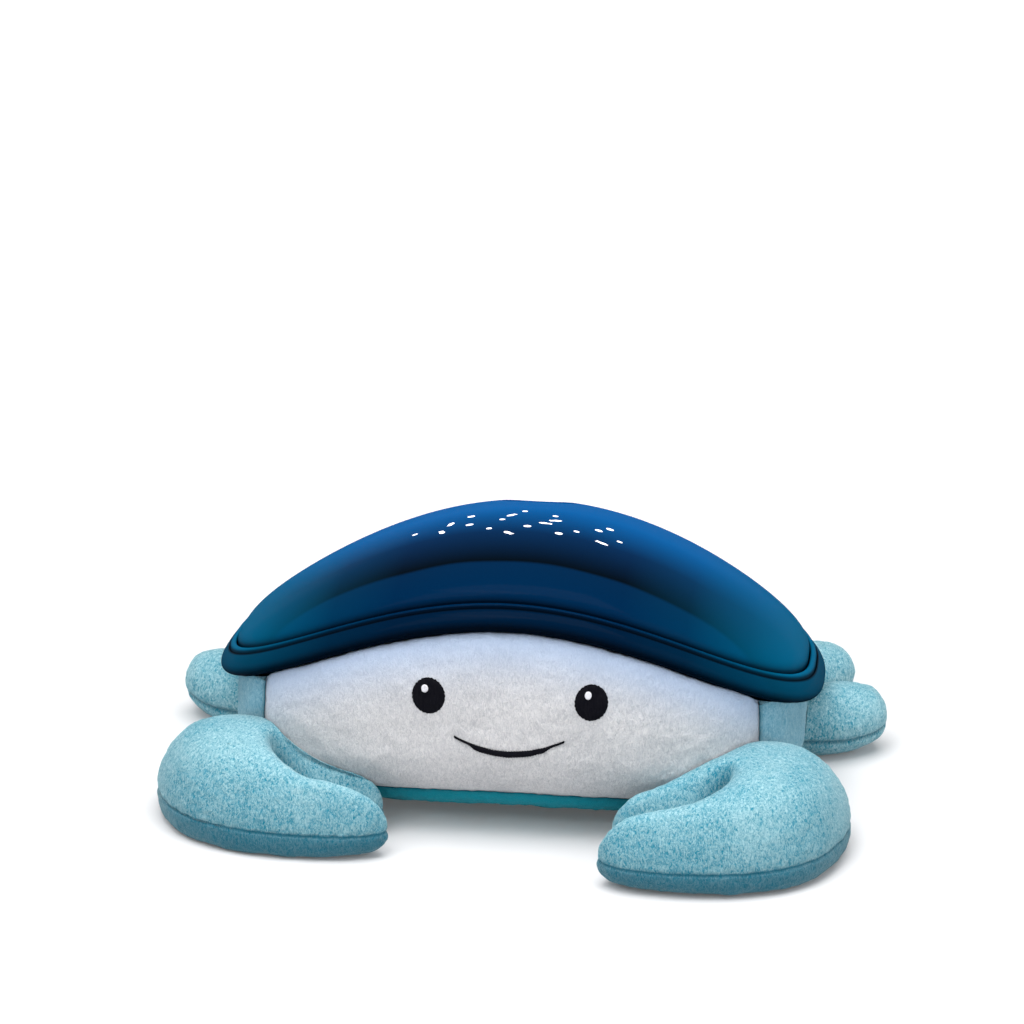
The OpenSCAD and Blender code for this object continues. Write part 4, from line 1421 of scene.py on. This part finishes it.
@dataclass
class Embroidery:
    """Eyes, their highlights and the smile, stitched on the face."""

    face: StuffedPanel
    eye_w: float = 6.8
    eye_h: float = 7.8
    eye_x: float = 33.2
    eye_z: float = 67.1
    glint_r: float = 1.4
    smile_w: float = 22.6
    smile_z: float = 49.8
    smile_sag: float = 5.4
    smile_t: float = 2.8
    smile_thin: float = 0.38
    shift: float = 2.4
    raised: float = 1.0
    over: int = 22
    under: int = 5
    spokes: int = 72
    smile_rows: int = 161
    smile_cols: int = 14

    def patch(self, x: float, z: float, w: float, h: float, low: float, high: float) -> Surface:
        """Domed oval of stitches on the face: height low + high (1 - p^6), p the share of the way to its edge.

        Args:
            x: middle across.
            z: middle up.
            w: half width.
            h: half height.
            low: height of its edge over the fleece.
            high: rise of its middle over its edge.

        Returns:
            The closed mesh.
        """
        p = np.concatenate([np.linspace(0.06, 1.0, self.over), np.linspace(1.0, 0.1, self.under)])[:, None]
        row = np.arange(len(p))[:, None]
        a = turns(self.spokes)[None, :]
        ragged = 1 + 0.018 * np.sin(29 * a) + 0.014 * np.sin(23 * a + 1)
        px, pz = x + w * p * ragged * np.cos(a), z + h * p * ragged * np.sin(a)
        skin, out = self.face.on_skin(px, pz)
        over = np.where(row < self.over, low + high * (1 - p**6), low - 1.4)
        thread = 0.1 * np.sin(2 * math.pi * px / 0.75) * (row < self.over - 1)
        return tube(skin + out * (over + thread)[..., None])

    def smile(self) -> Surface:
        """Bent bar of stitches: a parabola across the face with an oval section, thin at both ends.

        Returns:
            The closed mesh.
        """
        u = np.linspace(-1, 1, self.smile_rows)[:, None]
        a = turns(self.smile_cols)[None, :]
        x = np.broadcast_to(self.shift + self.smile_w * u, (u.size, a.size))
        share = mix(1 - 0.3 * u * u, self.smile_thin, smooth((np.abs(u) - 0.58) / 0.2))
        wide = self.smile_t / 2 * share
        stitch = 1 + 0.1 * np.sin(2 * math.pi * x / 1.1) + 0.06 * np.sin(2 * math.pi * x / 0.7)
        z = self.smile_z - self.smile_sag * (1 - u * u) + self.smile_t / 2 * self.smile_thin - wide
        z = z + wide * stitch * np.cos(a)
        skin, out = self.face.on_skin(x, z)
        return tube(skin + out * (0.25 + 0.75 * np.sin(a) * (1 - 0.4 * u * u))[..., None])

    def dress(self) -> list[Thing]:
        """Builds the stitching in place of its solids.

        Returns:
            The pieces.
        """
        black, white = BLACK.material(), WHITE.material()
        made, glints = [], []
        for side in Side:
            x = self.shift + side.value * self.eye_x
            eye = self.patch(x, self.eye_z, self.eye_w, self.eye_h, 0.1, self.raised)
            made.append((eye, f"eye_{side.word}", black))
            spot = (x - self.eye_w * 0.2, self.eye_z + self.eye_h * 0.43)
            glints.append(self.patch(*spot, self.glint_r, self.glint_r * 1.2, self.raised + 0.1, 0.35))
        first, second = glints
        count = len(first.points)
        both = Surface(
            np.concatenate([first.points, second.points]),
            np.concatenate([first.quads, second.quads + count]),
            np.concatenate([first.tris, second.tris + count]),
        )
        made += [(both, "eye_glints", white), (self.smile(), "smile", black)]
        return [stand_in(surface, f"stitched_{node}", node, BODY, thread) for surface, node, thread in made]


@dataclass
class GlossShell:
    """Smooth shell with its rolled rim, its lit windows and the hole for the controls."""

    form: ShellForm = ShellForm()
    windows: int = 20
    patch_w: float = 50.0
    patch_d: float = 22.0
    patch_y: float = -5.0
    fish: float = 6.0
    waist: float = 0.55
    bubble: float = 3.2
    golden: float = 137.5
    control_y: float = 60.0
    control_r: float = 16.3
    control_deep: float = 8.0
    control_cols: int = 128
    cols: int = 288
    window_cols: int = 40
    # painted shade all over the inside of the shell
    inner_painted_shade: float = 0.85
    sharp: float = 40.0

    def profile(self, t: Array) -> tuple[Array, Array]:
        """Rings from the crest over a beaded groove and the rolled rim to the inside's crest.

        The dome rises by a power of 1 - q^2 over the share q of its radius. A half-round bead lies between two
        grooves at its foot. The rim is a half round about its height. The inside follows a wall's thickness within.

        Args:
            t: angles in radians.

        Returns:
            Rows of points, and for each row its painted shade: in the grooves, on the bead's flanks, on the rim's lower
            half and inside.
        """
        f = self.form
        dome_r = f.dome_r(t)
        q = np.sin(np.linspace(0.03, 1.53, 90))[:, None]
        rows = [f.lift(t, q * dome_r, f.rim_h + f.rise(q))]
        # painted shade on the dome next to its groove
        dark = [bell(f.rise(q[:, 0]), 2.4)]
        a = np.radians(np.linspace(180, 0, 13))[:, None]
        roll = np.c_[1.7 + 1.3 * np.cos(a), 1.1 * np.sin(a)]
        bead = np.concatenate([[[-0.2, -0.3], [0.2, -0.6]], roll, [[3.2, -1.1]]])
        rows.append(f.lift(t, dome_r + bead[:, :1], f.rim_h + bead[:, 1:]))
        # painted shade in both grooves and on the bead's flanks
        dark.append(np.concatenate([[1.0, 1.0], 0.75 * np.abs(np.cos(a[:, 0])) ** 4, [1.0]]))
        a = np.radians(np.linspace(60, -90, 40))[:, None]
        r, up = f.rim(t, a)
        rows.append(f.lift(t, r, up))
        # painted shade growing down the rim, and in the groove at its top
        lower = mix(0.5, 0.93, smooth((0.25 - a[:, 0]) / 0.9))
        dark.append(np.maximum(lower, bell(1.05 - a[:, 0], 0.14)))
        a = np.radians(np.linspace(-90, 60, 26))[:, None]
        r, up = f.rim(t, a)
        rows.append(f.lift(t, r - f.wall, up - f.wall * np.maximum(0, np.sin(a))))
        q = np.sin(np.linspace(math.pi / 2, 0.06, 40))[:, None]
        rows.append(f.lift(t, q * (dome_r - f.wall), f.rim_h + f.rise(q) - f.wall))
        # painted shade all over the inside
        dark.append(np.full(a.size + q.size, self.inner_painted_shade))
        return np.concatenate(rows), np.concatenate(dark)

    def spots(self) -> Array:
        """Places of the windows, turned by the golden angle and spread evenly over an oval.

        Returns:
            One place in plan for each window.
        """
        i = np.arange(self.windows)
        r = np.sqrt((i + 0.5) / self.windows)
        turn = np.radians(self.golden * i)
        return np.stack([self.patch_w * r * np.cos(turn), self.patch_y + self.patch_d * r * np.sin(turn)], -1)

    def outlines(self, cols: int, room: float) -> Array:
        """Outlines of the windows round their places: every third a fish, the rest round bubbles.

        A fish is the space that two circles share, with a fan-shaped tail, as a radius over the angle.

        Args:
            cols: points to an outline.
            room: clearance added to the radius.

        Returns:
            For each window a ring of places in plan.
        """
        i = np.arange(self.windows)[:, None]
        a = turns(cols)[None, :]
        belly = 0.45 * self.fish
        side = self.waist * belly * np.abs(np.sin(a))
        lens = -side + np.sqrt(side * side + belly * belly * (1 - self.waist**2))
        tail = np.where(np.abs(np.tan(a)) < 0.36, 0.55 * self.fish / np.maximum(np.cos(a), 0.1), 0.0)
        swim = np.maximum(lens, np.where(np.cos(a) > 0, tail, 0.0))
        round_r = self.bubble / 2 * np.where(i % 2 == 0, 1.0, 0.75)
        r = np.where(i % 3 == 0, swim, round_r) + room
        turn = a + np.radians(self.golden * 0.5) * i
        return self.spots()[:, None, :] + np.stack([r * np.cos(turn), r * np.sin(turn)], -1)

    def prisms(self, outlines: Array, high: Array, low: Array) -> Surface:
        """Upright prisms over outlines, closed by a fan above and below.

        Args:
            outlines: rings of places in plan.
            high: heights of the upper ring's points.
            low: heights of the lower ring's points.

        Returns:
            One mesh of all the prisms.
        """
        n, cols = outlines.shape[:2]
        upper = np.concatenate([outlines, high[..., None]], -1)
        lower = np.concatenate([outlines, low[..., None]], -1)
        ends = np.stack([lower.mean(1), upper.mean(1)], 1)
        points = np.concatenate([lower, upper, ends], 1)
        step = np.arange(n)[:, None, None] * (2 * cols + 2)
        quads = (grid_faces(2, cols, True)[None] + step).reshape(-1, 4)
        tris = (fans(2, cols)[None] + step).reshape(-1, 3)
        return Surface(points.reshape(-1, 3), quads, tris).faced()

    def cut(self, thing: Thing, tool: Thing) -> None:
        """Cuts one closed piece out of another and removes the tool.

        Args:
            thing: what is cut.
            tool: what cuts it.
        """
        modifier = thing.modifiers.new("cut", "BOOLEAN")
        modifier.operation = "DIFFERENCE"
        modifier.solver = "EXACT"
        modifier.object = tool
        bpy.context.view_layer.update()
        done = bpy.data.meshes.new_from_object(thing.evaluated_get(bpy.context.evaluated_depsgraph_get()))
        thing.modifiers.clear()
        old = thing.data
        thing.data = done
        bpy.data.meshes.remove(old)
        spent = tool.data
        bpy.data.objects.remove(tool)
        bpy.data.meshes.remove(spent)

    def island(self) -> Surface:
        """Round bar square to the dome where the controls sit.

        Returns:
            The closed mesh.
        """
        f = self.form
        q = self.control_y / (f.half_d - f.rim_set)
        z = float(f.dome_z(np.array(0.0), np.array(self.control_y)))
        slope = 2 * f.dome_power * q * float(f.rise(np.array(q))) / (1 - q * q) / (f.half_d - f.rim_set)
        lean = math.atan(math.tan(math.radians(f.tilt)) + slope)
        a = turns(self.control_cols)
        ring = np.stack([np.cos(a), np.sin(a) * math.cos(lean), -np.sin(a) * math.sin(lean)], -1) * self.control_r
        up = np.array([0.0, math.sin(lean), math.cos(lean)])
        middle = np.array([0.0, self.control_y, z])
        return tube(np.stack([middle + way * up + ring for way in (-self.control_deep, self.control_deep)]))

    def dress(self, material: Material) -> list[Thing]:
        """Builds the shell in place of its solid, and its lit windows.

        Args:
            material: the shell's plastic.

        Returns:
            The shell and its windows.
        """
        t = turns(self.cols)[None, :]
        rings, dark = self.profile(t)
        rows, cols = rings.shape[:2]
        f = self.form
        top = float(f.dome_z(np.array(0.0), np.array(0.0)))
        points = np.concatenate([rings.reshape(-1, 3), [[0, 0, top], [0, 0, top - f.wall]]])
        # painted shade for each point, read by the shell's finish as seam
        shade = np.concatenate([np.repeat(dark, cols), [0.0, self.inner_painted_shade]])
        shell = Surface(points, grid_faces(rows, cols, True), fans(rows, cols), shade).faced().build("gloss_shell")
        self.cut(shell, self.island().build("island_tool"))
        hole = self.outlines(self.window_cols, 0.04)
        z = f.dome_z(hole[..., 0], hole[..., 1])
        self.cut(shell, self.prisms(hole, z + 4.0, z - 8.0).build("window_tool"))
        shell.data.shade_smooth()
        shell.data.set_sharp_from_angle(angle=math.radians(self.sharp))
        shell.data.materials.clear()
        shell.data.materials.append(material)
        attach(shell, BODY)
        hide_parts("shell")
        pane = self.outlines(self.window_cols, 0.0)
        z = f.dome_z(pane[..., 0], pane[..., 1])
        windows = self.prisms(pane, z + 0.05, z - 2.0).build("lit_windows")
        windows.data.set_sharp_from_angle(angle=math.radians(self.sharp))
        windows.data.materials.append(WINDOW.material())
        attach(windows, BODY)
        return [shell, windows]


@dataclass
class Studio:
    """Pale floor, soft lamps and the camera of the photograph."""

    azimuth: float = 5.1
    elevation: float = 22.0
    roll: float = 0.8
    distance: float = 2.0
    target: tuple[float, float, float] = (0.0, AXIS_Y * MM, 0.079)
    focal_px: float = 4722.0
    target_px: tuple[float, float] = (525.5, 588.5)
    lamps: tuple[tuple[str, tuple[float, float, float], float, float], ...] = (
        ("key_lamp", (-0.7, -1.1, 1.6), 1.4, 22.0),
        ("fill_lamp", (1.3, -1.0, 0.9), 1.2, 8.0),
        ("top_lamp", (0.1, -0.25, 1.8), 1.6, 34.0),
    )
    floor_half: float = 4000.0
    floor_lines: int = 9
    floor_bounce: Colour = (0.58, 0.58, 0.59)
    floor_seen: Colour = (0.76, 0.76, 0.77)
    floor_glow: tuple[tuple[float, float], ...] = ((0.2, 0.08), (0.8, 1.0))
    surround: tuple[float, float] = (1.0, 0.2)

    def camera(self) -> None:
        """Sets the camera: its back looks along azimuth and elevation, and its shift puts the target in its place."""
        az, el, roll = (math.radians(v) for v in (self.azimuth, self.elevation, self.roll))
        back = Vector((math.sin(az) * math.cos(el), -math.cos(az) * math.cos(el), math.sin(el)))
        right = Vector((math.cos(az), math.sin(az), 0.0))
        up = back.cross(right)
        right, up = math.cos(roll) * right + math.sin(roll) * up, -math.sin(roll) * right + math.cos(roll) * up
        lens = bpy.data.cameras.new("camera")
        lens.sensor_width = 36.0
        lens.lens = self.focal_px / PHOTO_SIZE * lens.sensor_width
        lens.shift_x = (PHOTO_SIZE / 2 - self.target_px[0]) / PHOTO_SIZE
        lens.shift_y = (self.target_px[1] - PHOTO_SIZE / 2) / PHOTO_SIZE
        lens.clip_start = 0.05
        thing = bpy.data.objects.new("camera", lens)
        thing.matrix_world = Matrix.Translation(Vector(self.target) + back * self.distance) @ Matrix(
            (right, up, back)
        ).transposed().to_4x4()
        bpy.context.scene.collection.objects.link(thing)
        bpy.context.scene.camera = thing

    def lamp(self, name: str, place: tuple[float, float, float], size: float, power: float) -> None:
        """Hangs a soft square lamp that looks at the target.

        Args:
            name: name of the lamp.
            place: where it hangs.
            size: its width.
            power: its power in watts.
        """
        light = bpy.data.lights.new(name, "AREA")
        light.size = size
        light.energy = power
        thing = bpy.data.objects.new(name, light)
        thing.location = place
        aim = Vector(self.target) - Vector(place)
        thing.rotation_euler = aim.to_track_quat("-Z", "Y").to_euler()
        bpy.context.scene.collection.objects.link(thing)

    def floor(self) -> None:
        """Lays a pale floor that keeps its shadows near the toy and goes over into the white surround."""
        line = np.linspace(-self.floor_half, self.floor_half, self.floor_lines)
        x, y = np.meshgrid(line, line)
        points = np.stack([x, y, np.zeros_like(x)], -1).reshape(-1, 3)
        thing = Surface(points, grid_faces(*x.shape, False)).build("studio_floor")
        tree = Tree("studio_floor")
        ray = tree.add("ShaderNodeLightPath")
        seen = tree.math("MAXIMUM", ray.outputs["Is Camera Ray"], ray.outputs["Is Transmission Ray"])
        seen = tree.math("MAXIMUM", seen, ray.outputs["Is Glossy Ray"])
        away = tree.add("ShaderNodeVectorMath", operation="LENGTH")
        tree.link(tree.coords, away.inputs[0])
        white = tree.ramp(away.outputs["Value"], [(place, (share,) * 3) for place, share in self.floor_glow])
        tree.set(Base_Color=tree.blend(seen, self.floor_bounce, self.floor_seen), Roughness=0.9)
        tree.set(Specular_IOR_Level=0.1, Emission_Color=white, Emission_Strength=seen)
        thing.data.materials.append(tree.material)

    def world(self) -> None:
        """Sets an even pale surround, white where it is seen."""
        world = bpy.data.worlds.new("studio")
        world.use_nodes = True
        nodes, links = world.node_tree.nodes, world.node_tree.links
        back = nodes["Background"]
        back.inputs["Color"].default_value = (1.0, 1.0, 1.0, 1.0)
        ray = nodes.new("ShaderNodeLightPath")
        reach = nodes.new("ShaderNodeMapRange")
        reach.inputs["To Min"].default_value, reach.inputs["To Max"].default_value = self.surround
        links.new(ray.outputs["Is Diffuse Ray"], reach.inputs["Value"])
        links.new(reach.outputs[0], back.inputs["Strength"])
        bpy.context.scene.world = world

    def set(self) -> None:
        """Sets the whole studio."""
        self.camera()
        self.floor()
        self.world()
        for lamp in self.lamps:
            self.lamp(*lamp)
        bpy.context.scene.view_settings.view_transform = "Standard"


def panels() -> list[StuffedPanel]:
    """Lists the body's sewn panels, from the face round to the back.

    Returns:
        The panels.
    """
    face, chin, back = 60.0, 39.0, 48.0
    low = -90 - BodyForm.fold_psi
    # painted light from the shell's glow reaches further and fainter on the side panels
    dim = (40.0, 0.45)
    return [
        StuffedPanel("face_fleece", "face_plush", GREY, (-90 - face, face - 90), (-chin, 90), sewn_low=True),
        StuffedPanel("chin_fleece", "chin_plush", DEEP, (-90 - face, face - 90), (low, -chin), sewn_high=True),
        StuffedPanel("side_fleece_right", "side_plush_right", TEAL, (face - 90, back), (low, 90), lit=dim),
        StuffedPanel("side_fleece_left", "side_plush_left", TEAL, (180 - back, 270 - face), (low, 90), lit=dim),
        StuffedPanel("rear_fleece", "rear_plush", TEAL, (back, 180 - back), (low, 90)),
    ]


def limbs() -> list[Limb]:
    """Lists the claws and legs. The left ones lie a little further back, as soft limbs do.

    Returns:
        The limbs.
    """
    return [
        Claw(Side.LEFT, 15.0, 116.5),
        Claw(Side.RIGHT, -3.0, 112.0),
        Leg(Side.LEFT, Pair.FRONT, 9.0, 33.0, 36.0),
        Leg(Side.RIGHT, Pair.FRONT, 9.0, 22.0, 38.0),
        Leg(Side.LEFT, Pair.REAR, 29.0, 40.0, 36.0),
        Leg(Side.RIGHT, Pair.REAR, 29.0, 36.0, 39.0),
    ]


def main() -> None:
    """Builds the looks of the part piece by piece."""
    logging.basicConfig(level=logging.INFO, format="%(message)s")
    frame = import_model()
    Studio().set()
    finishes = {slot: finish.material() for slot, finish in RIGID.items()}
    for part in frame["record"]["subparts"]:
        if part["material_slot"] in finishes:
            frame["nodes"][part["node"]].material_slots[0].material = finishes[part["material_slot"]]
    made = GlossShell().dress(finishes["shell_plastic"])
    fleece = {f.name: f.material() for f in (TEAL, GREY, DEEP)}
    body = panels()
    made += [panel.dress(fleece[panel.fleece.name]) for panel in body]
    made += Embroidery(body[0]).dress()
    made += [limb.dress(fleece[TEAL.name]) for limb in limbs()]
    for thing in made:
        log.info("%s: %d faces", thing.name, len(thing.data.polygons))


if __name__ == "__main__":
    main()
